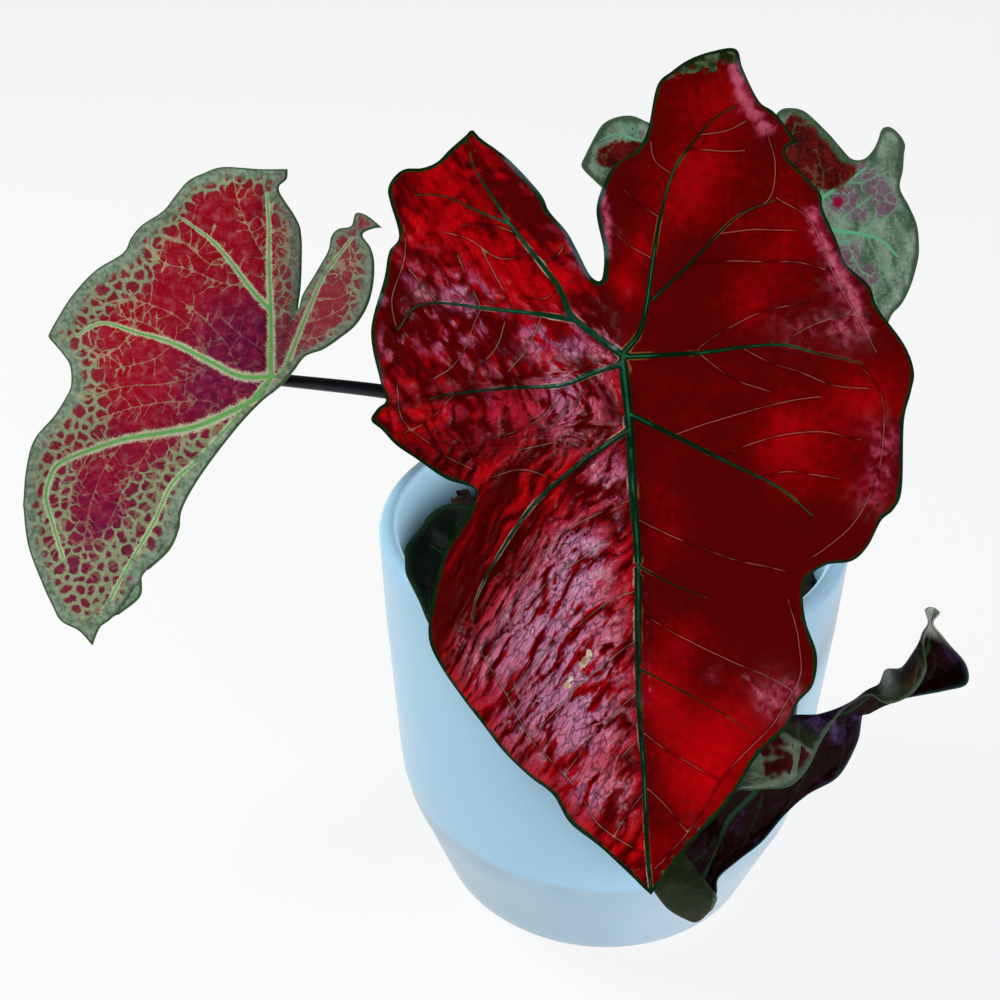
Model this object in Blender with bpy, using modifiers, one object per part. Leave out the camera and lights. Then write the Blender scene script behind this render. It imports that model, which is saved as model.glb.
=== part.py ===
"""A potted caladium: five heart-shaped leaves on thin stalks, in a plain white cover pot.

The origin is the middle of the pot's flat foot, +Z is up, and the plant's open side faces -Y.
Each blade is drawn as it looks from the viewpoint, on a picture FOCUS units in front of the
eye. The drawing is laid on a flat sheet at the blade's distance, in millimetres from where its
stalk joins. Every point of it is then pushed along the line of sight to its real depth, which
folds, cups and waves the leaf without changing its outline.
"""

import math
from collections import namedtuple

import bmesh
import bpy
import numpy as np
from mathutils import Vector, noise
from mathutils.geometry import delaunay_2d_cdt

MM = 0.001
TINY = 1e-9
FAR = 1e9
POINT_WELD = 1e-6
AXIS_WELD = 1e-5
CURVE_DETAIL = 12

# Gaps between pieces, in millimetres: in general, at a blade, and round the buried tuber
GAP = 0.4
STALK_GAP = 0.9
TUBER_GAP = 0.88

# The viewpoint: where the eye is, how far it looks down, and the picture that it sees
EYE = np.array((-33.7, -335.9, 331.2))
LOOK_DOWN = math.radians(30.36)
RIGHT = np.array((1.0, 0.0, 0.0))
UP = np.array((0.0, math.sin(LOOK_DOWN), math.cos(LOOK_DOWN)))
AWAY = np.array((0.0, math.cos(LOOK_DOWN), -math.sin(LOOK_DOWN)))
FOCUS = 1300.0
PICTURE_MIDDLE = 500.0

# Pot: the inside and outside of its wall, as (radius, height) in millimetres
POT_HEIGHT = 129.5
POT_RADIUS = 70.0
POT_LIP = 2.8
POT_SIDES = 56
LIP_STEPS = 6
POT_INSIDE = ((0, 6.5), (44, 6.5), (48.5, 9), (58, 29), (60.4, 41), (62.1, 70), (63.6, 100))
POT_OUTSIDE = ((69.3, 100), (67.8, 70), (66.8, 49), (66.2, 41), (64.6, 34), (62, 27), (55, 7),
               (53.4, 2.4), (52, 0.6), (50.4, 0), (0, 0))

# Soil: its top, and its side just inside the pot's wall
SOIL_TOP = 108.0
SOIL_RADIUS = 63.2
SOIL_SIDE = ((63.2, 106), (61.6, 70), (59.8, 41), (57.2, 29), (47.6, 9.5), (43, 6.9), (0, 6.9))
SOIL_SIDES = 36
SOIL_RINGS = 7
SOIL_BUMP_HEIGHT = 2.2
SOIL_BUMPS_PER_METRE = 70
SOIL_SKIN = 1.0

# Tuber: a flattened, knobbly ball in the soil
TUBER_CENTRE = (0.0, 0.0, 80.0)
TUBER_RADIUS = 23.0
TUBER_FLATNESS = 0.62
TUBER_KNOBS = 0.06
TUBER_KNOB_COUNT = 2.1
TUBER_POCKET = 0.64

# Dry sheath of an old stalk, standing on the soil by the wall
SHEATH_FOOT = (-43.0, 22.0, 109.8)
SHEATH_TOP = (-47.0, 27.0, 121.0)
SHEATH_RADIUS = 4.6
SHEATH_TAPER = 0.25
SHEATH_OPENING = (-140, 110)
SHEATH_RAGS = (2.2, 5)
SHEATH_ROWS = 4
SHEATH_COLUMNS = 9

# Blades, in millimetres: thickness, the grooves and ribs at veins, and the mesh's steps
BLADE_THICKNESS = 0.9
RIB_THICKNESS = 2.3
RIB_FADE = 0.75
GROOVE_DEPTH = 0.9
GROOVE_WIDTH = 3.0
PUFF_HEIGHT = 1.3
PUFF_WIDTH = 7.0
OUTLINE_STEP = 5.0
VEIN_STEP = 7.0
VEIN_CLEARANCE = 1.5
FIELD_STEP = 8.0
FIELD_FROM_MARGIN = 0.55
FIELD_FROM_VEIN = 0.5
ON_VEIN = 0.5
ROW_HEIGHT = math.sqrt(0.75)
MERGE = 0.3

# Colours in linear light, and how rough each skin is
LEAF_ROUGHNESS = 0.4
STALK_COLOUR = (0.02, 0.015, 0.03)
STALK_ROUGHNESS = 0.35
POT_COLOUR = (0.55, 0.72, 0.85)
POT_ROUGHNESS = 0.35
SOIL_COLOUR = (0.05, 0.03, 0.02)
SOIL_ROUGHNESS = 0.9
TUBER_COLOUR = (0.2, 0.12, 0.07)
TUBER_ROUGHNESS = 0.8
SHEATH_COLOUR = (0.2, 0.07, 0.04)
SHEATH_ROUGHNESS = 0.7

# Stalks, in millimetres: stout at the foot and thin at the neck
STALK_RADIUS = 1.9
STALK_TAPER = (1.5, 0.95)
STALK_POINTS = 15
STALK_NECK = 5.0
STALK_PROBE = 2.5
HOLE_DEPTH = 3.0
HOLE_POINTS = 4

Leaf = namedtuple("Leaf", "name distance joint foot outline corners veins depth colour")


def smooth(x):
    """A soft step from 0 at x = 0 to 1 at x = 1."""
    x = np.clip(x, 0, 1)
    return x * x * (3 - 2 * x)


# Front leaf: a big open heart, nearly facing the viewpoint, hollowed along its midrib
FRONT_OUTLINE = (
    (651, 895), (624, 869), (599, 846), (570, 823), (553, 795), (530, 777), (504, 752), (484,
    726), (461, 696), (440, 665), (429, 640), (430, 612), (436, 583), (445, 549), (466, 518),
    (475, 500), (473, 488), (446, 479), (415, 458), (396, 445), (382, 430), (371, 420), (378,
    408), (386, 400), (380, 380), (371, 331), (384, 279), (389, 252), (399, 236), (390, 202),
    (388, 189), (394, 177), (405, 169), (422, 168), (437, 162), (449, 150), (465, 136), (472,
    130), (480, 138), (508, 159), (540, 193), (549, 211), (567, 232), (578, 252), (590, 275),
    (600, 281), (604, 270), (604, 248), (597, 212), (603, 186), (614, 166), (637, 149), (648,
    128), (657, 86), (672, 71), (690, 59), (713, 51), (736, 49), (743, 69), (759, 101), (775,
    113), (798, 142), (787, 148), (789, 159), (819, 191), (823, 209), (837, 241), (846, 264),
    (869, 285), (878, 308), (904, 344), (914, 371), (911, 392), (904, 422), (902, 488), (894,
    509), (881, 521), (868, 546), (852, 561), (826, 565), (808, 578), (803, 594), (806, 622),
    (817, 655), (813, 685), (798, 703), (785, 730), (759, 754), (726, 805), (698, 836), (675,
    864),
)
FRONT_CORNERS = ((651, 895), (798, 142))
FRONT_VEINS = (
    ((622, 355), (629, 422), (633, 491), (638, 560), (638, 706), (647, 846), (650, 879)),
    ((622, 355), (574, 318), (560, 289), (511, 225), (476, 171)),
    ((511, 225), (478, 211), (444, 196), (414, 195)),
    ((574, 318), (539, 314), (483, 308), (440, 303), (406, 323)),
    ((622, 364), (560, 385), (509, 388), (453, 394), (430, 439)),
    ((630, 431), (560, 480), (504, 546), (476, 599), (486, 662), (545, 754)),
    ((622, 355), (642, 326), (653, 260), (672, 175), (713, 120), (738, 103)),
    ((650, 291), (690, 264), (741, 214), (777, 199)),
    ((622, 357), (698, 353), (783, 345), (861, 363), (881, 394), (878, 468)),
    ((628, 413), (721, 459), (778, 487), (822, 523)),
    ((638, 566), (670, 583), (726, 607)),
    ((638, 668), (680, 690), (726, 715)),
)
# Its relief: the middle and half width of the blade, how deep the valley is and how high the
# halves arch, from where the tip and the lobes bend back and how strongly, and the waves and
# frills of its margin as (height, number round the leaf, turn)
FRONT_MIDDLE = 3.0
FRONT_LEAN = 0.03
FRONT_HALF = 62.0
FRONT_VALLEY = 11.0
FRONT_ARCH = 9.5
FRONT_ARCH_POWER = 2.2
FRONT_TIP_BEND = 0.0011
FRONT_TIP_START = 20.0
FRONT_LOBE_BEND = 0.0021
FRONT_LOBE_START = 12.0
FRONT_HEART = 25.0
FRONT_REACH = 75.0
FRONT_WAVES = (2.6, 6, 0.8)
FRONT_FRILLS = (1.3, 13)


def front_depth(u, v):
    """Valley along the midrib, halves arched over to the margins, lobes and tip bent back."""
    across = (u - FRONT_MIDDLE + FRONT_LEAN * v * (v < 0)) / FRONT_HALF
    spread = np.abs(across)
    arch = FRONT_ARCH * spread ** FRONT_ARCH_POWER - FRONT_VALLEY * spread
    tip = FRONT_TIP_BEND * np.clip(-v - FRONT_TIP_START, 0, None) ** 2
    lobes = FRONT_LOBE_BEND * np.clip(v - FRONT_LOBE_START, 0, None) ** 2
    angle = np.arctan2(v + FRONT_HEART, u)
    reach = np.hypot(u, v + FRONT_HEART) / FRONT_REACH
    height, count, turn = FRONT_WAVES
    waves = height * reach ** 2 * np.sin(count * angle + turn)
    height, count = FRONT_FRILLS
    frills = height * reach ** 3 * np.sin(count * angle)
    return arch + tip + lobes + waves + frills


# Left leaf: seen from its side, with its right half folded up towards the viewpoint
LEFT_OUTLINE = (
    (287, 169), (259, 169), (223, 167), (204, 173), (188, 181), (175, 196), (163, 211), (142,
    225), (131, 238), (123, 253), (96, 270), (74, 293), (60, 314), (49, 334), (50, 339), (62,
    353), (70, 366), (71, 385), (66, 397), (54, 416), (34, 440), (26, 470), (23, 505), (28,
    545), (42, 583), (52, 605), (61, 621), (79, 631), (92, 645), (100, 627), (119, 613), (139,
    596), (143, 575), (168, 550), (178, 528), (181, 510), (192, 488), (210, 461), (235, 429),
    (257, 405), (281, 384), (293, 370), (304, 356), (322, 349), (338, 338), (354, 325), (366,
    306), (372, 284), (373, 261), (369, 246), (361, 234), (372, 228), (381, 227), (369, 217),
    (361, 213), (355, 214), (351, 226), (338, 229), (331, 237), (328, 251), (315, 274), (303,
    294), (299, 308), (297, 309), (301, 284), (301, 236), (295, 217), (278, 190), (286, 179),
)
LEFT_CORNERS = ((92, 645), (381, 227), (287, 169), (23, 505), (297, 309))
LEFT_VEINS = (
    ((271, 377), (271, 322), (269, 265), (267, 194)),
    ((271, 311), (230, 261), (183, 219)),
    ((271, 377), (240, 376), (173, 343), (102, 323), (77, 336)),
    ((271, 377), (257, 397), (194, 427), (93, 449), (50, 478), (54, 528)),
    ((271, 377), (235, 419), (172, 484), (131, 561), (95, 636)),
    ((271, 377), (304, 321), (322, 279), (352, 238)),
)
# Its relief: the directions across the midrib and across the lobe, the slopes of the folded
# half, the lobe and the open half, where the lobe begins, and the waves of the open half
LEFT_ACROSS = (0.82, -0.574)
LEFT_LOBE_ACROSS = (0.877, -0.486)
LEFT_FOLD = 2.3
LEFT_LOBE_FOLD = 1.25
LEFT_LOBE_RISE = 7.0
LEFT_LOBE_NECK = 20.0
LEFT_LOBE_LEAN = 0.05
LEFT_LOBE_ANGLE = 12.0
LEFT_LOBE_BLEND = 6.0
LEFT_OPEN = 0.2
LEFT_LEAN = 0.12
LEFT_REACH = 75.0
LEFT_WAVES = (2.2, 7, 0.5)


def left_depth(u, v):
    """Open left half, right half and right lobe folded up steeply along the midrib."""
    across = u * LEFT_ACROSS[0] + v * LEFT_ACROSS[1]
    along = np.hypot(u, v)
    height, count, turn = LEFT_WAVES
    waves = height * (along / LEFT_REACH) ** 2 * np.sin(np.arctan2(v, u) * count + turn)
    open_half = LEFT_OPEN * np.abs(across) + waves
    base = np.where(across > 0, -LEFT_FOLD * across, open_half) - LEFT_LEAN * v
    lobe_across = u * LEFT_LOBE_ACROSS[0] + v * LEFT_LOBE_ACROSS[1]
    rise = LEFT_LOBE_RISE * np.minimum(1, along / LEFT_LOBE_NECK)
    lobe = -LEFT_LOBE_FOLD * (lobe_across + rise) - LEFT_LOBE_LEAN * v
    bearing = np.degrees(np.arctan2(u, np.maximum(v, TINY)))
    in_lobe = smooth((bearing - LEFT_LOBE_ANGLE) / LEFT_LOBE_BLEND) * (v > 0)
    return base * (1 - in_lobe) + lobe * in_lobe


# Back leaf: behind the front leaf's right lobe, leaning back, with a hooked upper lobe
BACK_OUTLINE = (
    (779, 111), (792, 108), (804, 111), (815, 120), (830, 135), (842, 149), (852, 159), (864,
    159), (873, 150), (878, 140), (882, 129), (890, 127), (899, 134), (905, 144), (904, 155),
    (903, 170), (900, 188), (909, 206), (917, 225), (919, 245), (918, 260), (911, 285), (902,
    303), (890, 317), (880, 345), (862, 380), (838, 415), (812, 440), (800, 420), (780, 400),
    (752, 375), (720, 345), (690, 310), (660, 270), (635, 235), (615, 200), (595, 180), (582,
    166), (585, 156), (594, 138), (603, 124), (617, 117), (633, 116), (650, 123), (675, 130),
    (705, 140), (730, 160), (750, 185), (760, 160), (768, 130),
)
BACK_CORNERS = ((812, 440), (750, 185))
BACK_VEINS = (
    ((765, 228), (790, 222), (822, 198), (866, 168)),
    ((765, 228), (800, 226), (860, 234), (897, 256)),
    ((765, 228), (785, 280), (810, 390), (812, 430)),
    ((765, 228), (775, 180), (797, 118)),
    ((765, 228), (720, 190), (670, 155), (608, 134)),
    ((765, 228), (720, 250), (680, 270)),
    ((778, 270), (820, 290), (880, 320)),
)
# Its relief: the lean of the midrib and the fold along it, the waves of the margin, and the
# place, depth and width of the hooked lobe's curl
BACK_TILT = 0.22
BACK_HALF = 50.0
BACK_FOLD = 7.0
BACK_REACH = 55.0
BACK_WAVES = (3.2, 5, 1.1)
BACK_HOOK = (45.0, 30.0)
BACK_HOOK_CURL = 9.0
BACK_HOOK_AREA = 60.0
BACK_LEAN = 0.32


def back_depth(u, v):
    """Leans back, folds lightly along its midrib, and curls forward at the hooked lobe."""
    fold = -BACK_FOLD * np.abs(u + BACK_TILT * v) / BACK_HALF
    height, count, turn = BACK_WAVES
    reach = np.hypot(u, v) / BACK_REACH
    waves = height * reach ** 2 * np.sin(count * np.arctan2(v, u) + turn)
    from_hook = (u - BACK_HOOK[0]) ** 2 + (v - BACK_HOOK[1]) ** 2
    hook = -BACK_HOOK_CURL * np.exp(-from_hook / BACK_HOOK_AREA)
    return fold + waves + hook + BACK_LEAN * v


# Low leaf: dark, nearly level, lying over the pot's front left rim under the front leaf
LOW_OUTLINE = (
    (449, 504), (438, 508), (428, 516), (421, 527), (411, 539), (405, 548), (405, 561), (406,
    573), (414, 590), (421, 604), (427, 620), (440, 645), (462, 672), (490, 690), (520, 700),
    (545, 690), (560, 665), (566, 635), (562, 605), (552, 578), (540, 555), (528, 548), (515,
    540), (500, 530), (485, 515), (468, 505),
)
LOW_CORNERS = ((520, 700),)
LOW_VEINS = (
    ((507, 578), (504, 643), (514, 687)),
    ((507, 578), (460, 600), (431, 607)),
    ((507, 578), (457, 560), (431, 546)),
    ((507, 578), (475, 549), (457, 524)),
    ((507, 578), (522, 600), (547, 618)),
)
# Its relief: how steeply it leans over the rim, where and how softly it bends there, how far
# in front of the sheet it lies, its slope from side to side, and its crumples
LOW_SLOPE = 0.59
LOW_BEND = -3.0
LOW_SOFTNESS = 6.0
LOW_FORWARD = 22.0
LOW_SIDE_SLOPE = 0.15
LOW_SIDE_START = -26.3
LOW_CRUMPLE = (0.8, 4.0)


def low_depth(u, v):
    """Level over the rim, then bent down in front of the wall."""
    level = v - LOW_BEND
    drape = LOW_SLOPE * (level + np.hypot(level, LOW_SOFTNESS))
    crumple = LOW_CRUMPLE[0] * np.sin(u / LOW_CRUMPLE[1])
    return drape - LOW_FORWARD - LOW_SIDE_SLOPE * (u - LOW_SIDE_START) + crumple


# Curled leaf: dark and drying, rolled at its tip and twisted to a hook at its other end.
# Each row runs across it, from the folded-over margin to the outer one, and the rows follow
# its length. A point is (right, down, away): two picture units, and a depth in millimetres.
CURLED_ROWS = (
    ((640, 815, -5), (660, 830, -6), (676, 844, -7), (688, 858, -7), (702, 876, -7), (716,
     894, -6)),
    ((636, 850, -9), (654, 866, -10), (668, 880, -11), (682, 890, -11), (699, 897, -10), (717,
     900, -8)),
    ((644, 876, -8), (657, 896, -7), (668, 909, -6), (683, 918, -5), (697, 922, -4), (712,
     910, -4)),
    ((654, 862, 2), (666, 884, 3), (679, 899, 4), (692, 907, 4), (705, 906, 3), (717, 893,
     2)),
    ((668, 832, 6), (682, 850, 7), (696, 866, 7), (706, 877, 7), (714, 881, 6), (719, 878,
     5)),
    ((690, 802, 6), (702, 820, 8), (712, 834, 8), (720, 848, 8), (728, 858, 7), (738, 861,
     5)),
    ((728, 790, -3), (722, 796, -1), (718, 806, 2), (733, 822, 5), (748, 838, 6), (762, 842,
     4)),
    ((762, 789, -6), (748, 784, -5), (738, 786, -1), (755, 800, 3), (772, 814, 4), (784, 816,
     3)),
    ((790, 786, -7), (772, 774, -6), (755, 768, -2), (774, 780, 2), (794, 792, 3), (808, 794,
     3)),
    ((808, 768, -7), (790, 752, -6), (776, 742, -2), (798, 756, 2), (820, 770, 3), (838, 776,
     3)),
    ((822, 740, -6), (806, 728, -5), (791, 717, -2), (816, 728, 2), (840, 744, 3), (857, 742,
     3)),
    ((838, 716, -5), (828, 713, -4), (820, 714, -1), (836, 717, 2), (850, 721, 3), (862, 716,
     3)),
    ((851, 702, -4), (848, 703, -3), (846, 706, -1), (852, 710, 1.5), (860, 713, 3), (868,
     713, 4)),
    ((870, 694, -4), (868, 692, -3), (867, 690, -1), (872, 696, 1.5), (879, 702, 3), (886,
     704, 4)),
    ((888, 704, -5), (883, 694, -4.5), (884, 682, -1), (892, 684, 3), (901, 691, 4), (908,
     698, 3)),
    ((912, 694, -8), (905, 680, -7), (901, 668, -1), (916, 666, 6), (932, 678, 7), (945, 691,
     3)),
    ((926, 672, -8), (917, 660, -7), (913, 652, -1), (930, 654, 7), (949, 667, 8), (967, 684,
     3)),
    ((925, 654, -6), (920, 647, -5), (919, 642, -1), (931, 642, 5), (948, 650, 6), (966, 664,
     2)),
    ((923, 638, -4), (921, 636, -3), (923, 632, 0), (931, 633, 3), (939, 637, 3.5), (947, 641,
     2)),
    ((925, 626, -2.5), (924, 624, -1), (926, 621, 1), (931, 622, 2), (936, 624, 2), (940, 626,
     1)),
    ((924, 610, -2), (925, 609, -0.5), (928, 607, 1), (933, 607, 2), (937, 609, 1.5), (941,
     613, 0)),
)
CURLED_ACROSS = 11
CURLED_STALK_SEAT = (794, 743, 2.2)

LEAVES = (
    Leaf("front_leaf", 325, (622, 355), (0, 0), FRONT_OUTLINE, FRONT_CORNERS, FRONT_VEINS,
         front_depth, (0.35, 0.01, 0.02)),
    Leaf("left_leaf", 400, (279, 379), (-2.5, 0.5), LEFT_OUTLINE, LEFT_CORNERS, LEFT_VEINS,
         left_depth, (0.5, 0.08, 0.16)),
    Leaf("back_leaf", 430, (765, 228), (0, 0), BACK_OUTLINE, BACK_CORNERS, BACK_VEINS,
         back_depth, (0.3, 0.36, 0.3)),
    Leaf("low_leaf", 360, (500, 600), (2, 6), LOW_OUTLINE, LOW_CORNERS, LOW_VEINS,
         low_depth, (0.01, 0.05, 0.02)),
)
CURLED = Leaf("curled_leaf", 345, (790, 745), (0, 0), (), (), (), None, (0.06, 0.01, 0.02))

# Where each stalk stands on the tuber's crown, and the way-points of its bend, in millimetres
STALK_ROUTES = {
    "front_leaf": ((3, -9), ((2, -9, 130), (0, -10, 165), (-2, -22, 186))),
    "left_leaf": ((-11, 3), ((-14, 6, 125), (-24, 10, 146), (-45, 17, 157), (-70, 24, 159))),
    "back_leaf": ((7, 10), ((9, 15, 122), (18, 34, 138), (33, 60, 150), (48, 84, 168))),
    "low_leaf": ((-8, -8), ((-13, -15, 117), (-22, -30, 124))),
    "curled_leaf": ((12, -3), ((15, -14, 122), (22, -34, 142), (34, -52, 145), (42, -62.5, 126))),
}


def clear_scene():
    for old in list(bpy.data.objects):
        bpy.data.objects.remove(old, do_unlink=True)


def new_collection(name):
    collection = bpy.data.collections.new(name)
    bpy.context.scene.collection.children.link(collection)
    return collection


clear_scene()
PLANT = new_collection("caladium")
CUTTERS = new_collection("cutters")


def material(name, colour, roughness):
    made = bpy.data.materials.new(name)
    made.use_nodes = True
    shader = made.node_tree.nodes["Principled BSDF"]
    shader.inputs["Base Color"].default_value = (*colour, 1)
    shader.inputs["Roughness"].default_value = roughness
    shader.inputs["Metallic"].default_value = 0
    return made


def new_object(name, mesh, collection=PLANT):
    made = bpy.data.objects.new(name, mesh)
    collection.objects.link(made)
    return made


def finish(piece, colour, roughness):
    """Give a piece its own material and smooth shading."""
    piece.data.materials.clear()
    piece.data.materials.append(material(piece.name, colour, roughness))
    piece.data.shade_smooth()


def evaluated_mesh(source):
    """The mesh of an object with its modifiers or curve bevel worked out, ends welded."""
    bpy.context.view_layer.update()
    ready = source.evaluated_get(bpy.context.evaluated_depsgraph_get())
    mesh = bpy.data.meshes.new_from_object(ready)
    work = bmesh.new()
    work.from_mesh(mesh)
    bmesh.ops.remove_doubles(work, verts=work.verts, dist=POINT_WELD)
    work.to_mesh(mesh)
    work.free()
    return mesh


def turned(name, profile, sides):
    """Turn a closed or axis-to-axis profile of (radius, height) points round the Z axis."""
    mesh = bpy.data.meshes.new(name)
    points = [(radius * MM, 0, height * MM) for radius, height in profile]
    edges = [(i, i + 1) for i in range(len(points) - 1)]
    mesh.from_pydata(points, edges, [])
    piece = new_object(name, mesh)
    screw = piece.modifiers.new("turn", "SCREW")
    screw.steps = sides
    screw.render_steps = sides
    screw.use_merge_vertices = True
    screw.merge_threshold = AXIS_WELD
    return piece


def cut(piece, cutter):
    """Take a hidden cutter out of a piece."""
    cutter.hide_render = True
    cutter.display_type = "WIRE"
    boolean = piece.modifiers.new("cut " + cutter.name, "BOOLEAN")
    boolean.operation = "DIFFERENCE"
    boolean.solver = "EXACT"
    boolean.object = cutter


def spline(points, count):
    """Points at even steps of the parameter on a Catmull-Rom curve through the given ones."""
    known = [np.array(point, float) for point in points]
    known = [2 * known[0] - known[1]] + known + [2 * known[-1] - known[-2]]
    found = []
    for value in np.linspace(0, len(points) - 1, count):
        start = min(int(value), len(points) - 2)
        t = value - start
        a, b, c, d = known[start:start + 4]
        found.append(0.5 * (2 * b + (c - a) * t + (2 * a - 5 * b + 4 * c - d) * t ** 2
                            + (3 * b - a - 3 * c + d) * t ** 3))
    return np.array(found)


def even_steps(points, step):
    """The smooth curve through points, cut into equal lengths of about the given step."""
    fine = spline(points, CURVE_DETAIL * len(points))
    lengths = np.linalg.norm(np.diff(fine, axis=0), axis=1)
    travelled = np.concatenate(([0], np.cumsum(lengths)))
    count = max(2, round(travelled[-1] / step) + 1)
    wanted = np.linspace(0, travelled[-1], count)
    return np.array([[np.interp(w, travelled, fine[:, axis]) for axis in range(fine.shape[1])]
                     for w in wanted])


def margin_line(outline, corners, step):
    """The closed, waved edge of a blade, smooth between its corners."""
    points = list(outline)
    first = points.index(corners[0])
    points = points[first:] + points[:first] + [corners[0]]
    stops = [i for i, point in enumerate(points) if point in corners]
    line = []
    for start, end in zip(stops, stops[1:]):
        line.extend(even_steps(points[start:end + 1], step)[:-1])
    return np.array(line)


def inside(points, loop):
    """Which of the points lie inside a closed loop."""
    found = np.zeros(len(points), bool)
    for (x0, y0), (x1, y1) in zip(loop, np.roll(loop, -1, axis=0)):
        crosses = (y0 > points[:, 1]) != (y1 > points[:, 1])
        rise = y1 - y0 if y1 != y0 else TINY
        found ^= crosses & (points[:, 0] < (x1 - x0) * (points[:, 1] - y0) / rise + x0)
    return found


def distance_to(points, line):
    """The distance from each point to an open line of points."""
    nearest = np.full(len(points), FAR)
    for start, end in zip(line[:-1], line[1:]):
        run = end - start
        t = np.clip(((points - start) @ run) / (run @ run), 0, 1)
        gap = np.linalg.norm(points - start - t[:, None] * run, axis=1)
        nearest = np.minimum(nearest, gap)
    return nearest


def sheet(leaf, points):
    """Points of the picture as millimetres on a leaf's sheet, from where its stalk joins."""
    flat = np.array(points, float) - leaf.joint
    return flat * (1, -1) * leaf.distance / FOCUS


def on_sight_line(leaf, u, v, depth):
    """The place in space of a point of a leaf's sheet, pushed away from the eye by depth."""
    right = (leaf.joint[0] - PICTURE_MIDDLE) / FOCUS + u / leaf.distance
    up = (PICTURE_MIDDLE - leaf.joint[1]) / FOCUS + v / leaf.distance
    reach = leaf.distance + depth
    return EYE + reach[:, None] * (AWAY + right[:, None] * RIGHT + up[:, None] * UP)


def blade_layout(leaf):
    """The flat points and triangles of a blade, with its veins as edges."""
    units = FOCUS / leaf.distance
    margin = sheet(leaf, margin_line(leaf.outline, leaf.corners, OUTLINE_STEP * units))
    closed = np.vstack((margin, margin[:1]))
    veins = []
    for route in leaf.veins:
        vein = sheet(leaf, even_steps(route, VEIN_STEP * units))
        clear = inside(vein, margin) & (distance_to(vein, closed) > VEIN_CLEARANCE)
        veins.append(vein[clear])
    low = margin.min(axis=0)
    high = margin.max(axis=0)
    rows = np.arange(low[1], high[1], FIELD_STEP * ROW_HEIGHT)
    field = np.array([(x + (i % 2) * FIELD_STEP / 2, y) for i, y in enumerate(rows)
                      for x in np.arange(low[0], high[0], FIELD_STEP)])
    field = field[inside(field, margin)]
    field = field[distance_to(field, closed) > FIELD_FROM_MARGIN * FIELD_STEP]
    for vein in veins:
        field = field[distance_to(field, vein) > FIELD_FROM_VEIN * FIELD_STEP]
    points = [*margin]
    edges = []
    for vein in veins:
        edges.extend((len(points) + i, len(points) + i + 1) for i in range(len(vein) - 1))
        points.extend(vein)
    points.extend(field)
    flat = [Vector(point) for point in points]
    face = [list(range(len(margin)))]
    corners, _, triangles, *_ = delaunay_2d_cdt(flat, edges, face, 1, MERGE)
    return np.array([tuple(corner) for corner in corners]), triangles, veins


def vein_distance(flat, veins):
    return np.min([distance_to(flat, vein) for vein in veins], axis=0)


def relief(away_from_vein):
    """How far the blade sinks at its veins and puffs up between them."""
    groove = GROOVE_DEPTH * np.exp(-(away_from_vein / GROOVE_WIDTH) ** 2)
    puff = PUFF_HEIGHT * (1 - np.exp(-(away_from_vein / PUFF_WIDTH) ** 2))
    return groove - puff


def thicken(name, points, triangles, rib):
    """Close an open blade surface with Solidify, thicker along its ribs."""
    mesh = bpy.data.meshes.new(name)
    mesh.from_pydata([tuple(point * MM) for point in points], [], triangles)
    piece = new_object(name, mesh)
    group = piece.vertex_groups.new(name="rib")
    for index, weight in enumerate(rib):
        group.add([index], float(weight), "REPLACE")
    solid = piece.modifiers.new("thickness", "SOLIDIFY")
    solid.thickness = RIB_THICKNESS * MM
    solid.offset = -1
    solid.vertex_group = "rib"
    solid.thickness_vertex_group = BLADE_THICKNESS / RIB_THICKNESS
    return piece


def make_blade(leaf):
    flat, triangles, veins = blade_layout(leaf)
    away_from_vein = vein_distance(flat, veins)
    u, v = flat.T
    points = on_sight_line(leaf, u, v, leaf.depth(u, v) + relief(away_from_vein))
    from_joint = np.hypot(u - leaf.foot[0], v - leaf.foot[1])
    fade = 1 - RIB_FADE * from_joint / from_joint.max()
    rib = np.where(away_from_vein < ON_VEIN, fade, 0)
    piece = thicken(leaf.name, points, [tuple(t) for t in triangles], rib)
    finish(piece, leaf.colour, LEAF_ROUGHNESS)


def from_picture(leaf, points):
    """Places in space of points that are given as right, down and away."""
    right, down, away = np.array(points, float).T
    u, v = sheet(leaf, np.column_stack((right, down))).T
    return on_sight_line(leaf, u, v, away)


def strip(rows, columns):
    """Triangles of a grid of points that is rows long and columns wide."""
    triangles = []
    for i in range(rows - 1):
        for j in range(columns - 1):
            a = i * columns + j
            triangles.append((a, a + 1, a + columns + 1))
            triangles.append((a, a + columns + 1, a + columns))
    return triangles


def make_curled_blade():
    rows = [spline(row, CURLED_ACROSS) for row in CURLED_ROWS]
    long = 2 * len(rows) - 1
    lines = [spline([row[i] for row in rows], long) for i in range(CURLED_ACROSS)]
    grid = np.array(lines).transpose(1, 0, 2).reshape(long * CURLED_ACROSS, 3)
    points = from_picture(CURLED, grid)
    piece = thicken(CURLED.name, points, strip(long, CURLED_ACROSS), np.zeros(len(points)))
    finish(piece, CURLED.colour, LEAF_ROUGHNESS)


def stalk_end(name):
    """Where a stalk meets the underside of its blade, and the way out of the blade there."""
    if name == CURLED.name:
        return from_picture(CURLED, [CURLED_STALK_SEAT])[0], AWAY
    leaf = next(leaf for leaf in LEAVES if leaf.name == name)
    u = leaf.foot[0] + STALK_PROBE * np.array((-1, 1, 0, 0))
    v = leaf.foot[1] + STALK_PROBE * np.array((0, 0, -1, 1))
    left, right, low, high = on_sight_line(leaf, u, v, leaf.depth(u, v))
    towards_eye = np.cross(right - left, high - low)
    towards_eye /= np.linalg.norm(towards_eye)
    u, v = np.array(leaf.foot, float).reshape(2, 1)
    return on_sight_line(leaf, u, v, leaf.depth(u, v) + GROOVE_DEPTH)[0], -towards_eye


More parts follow.
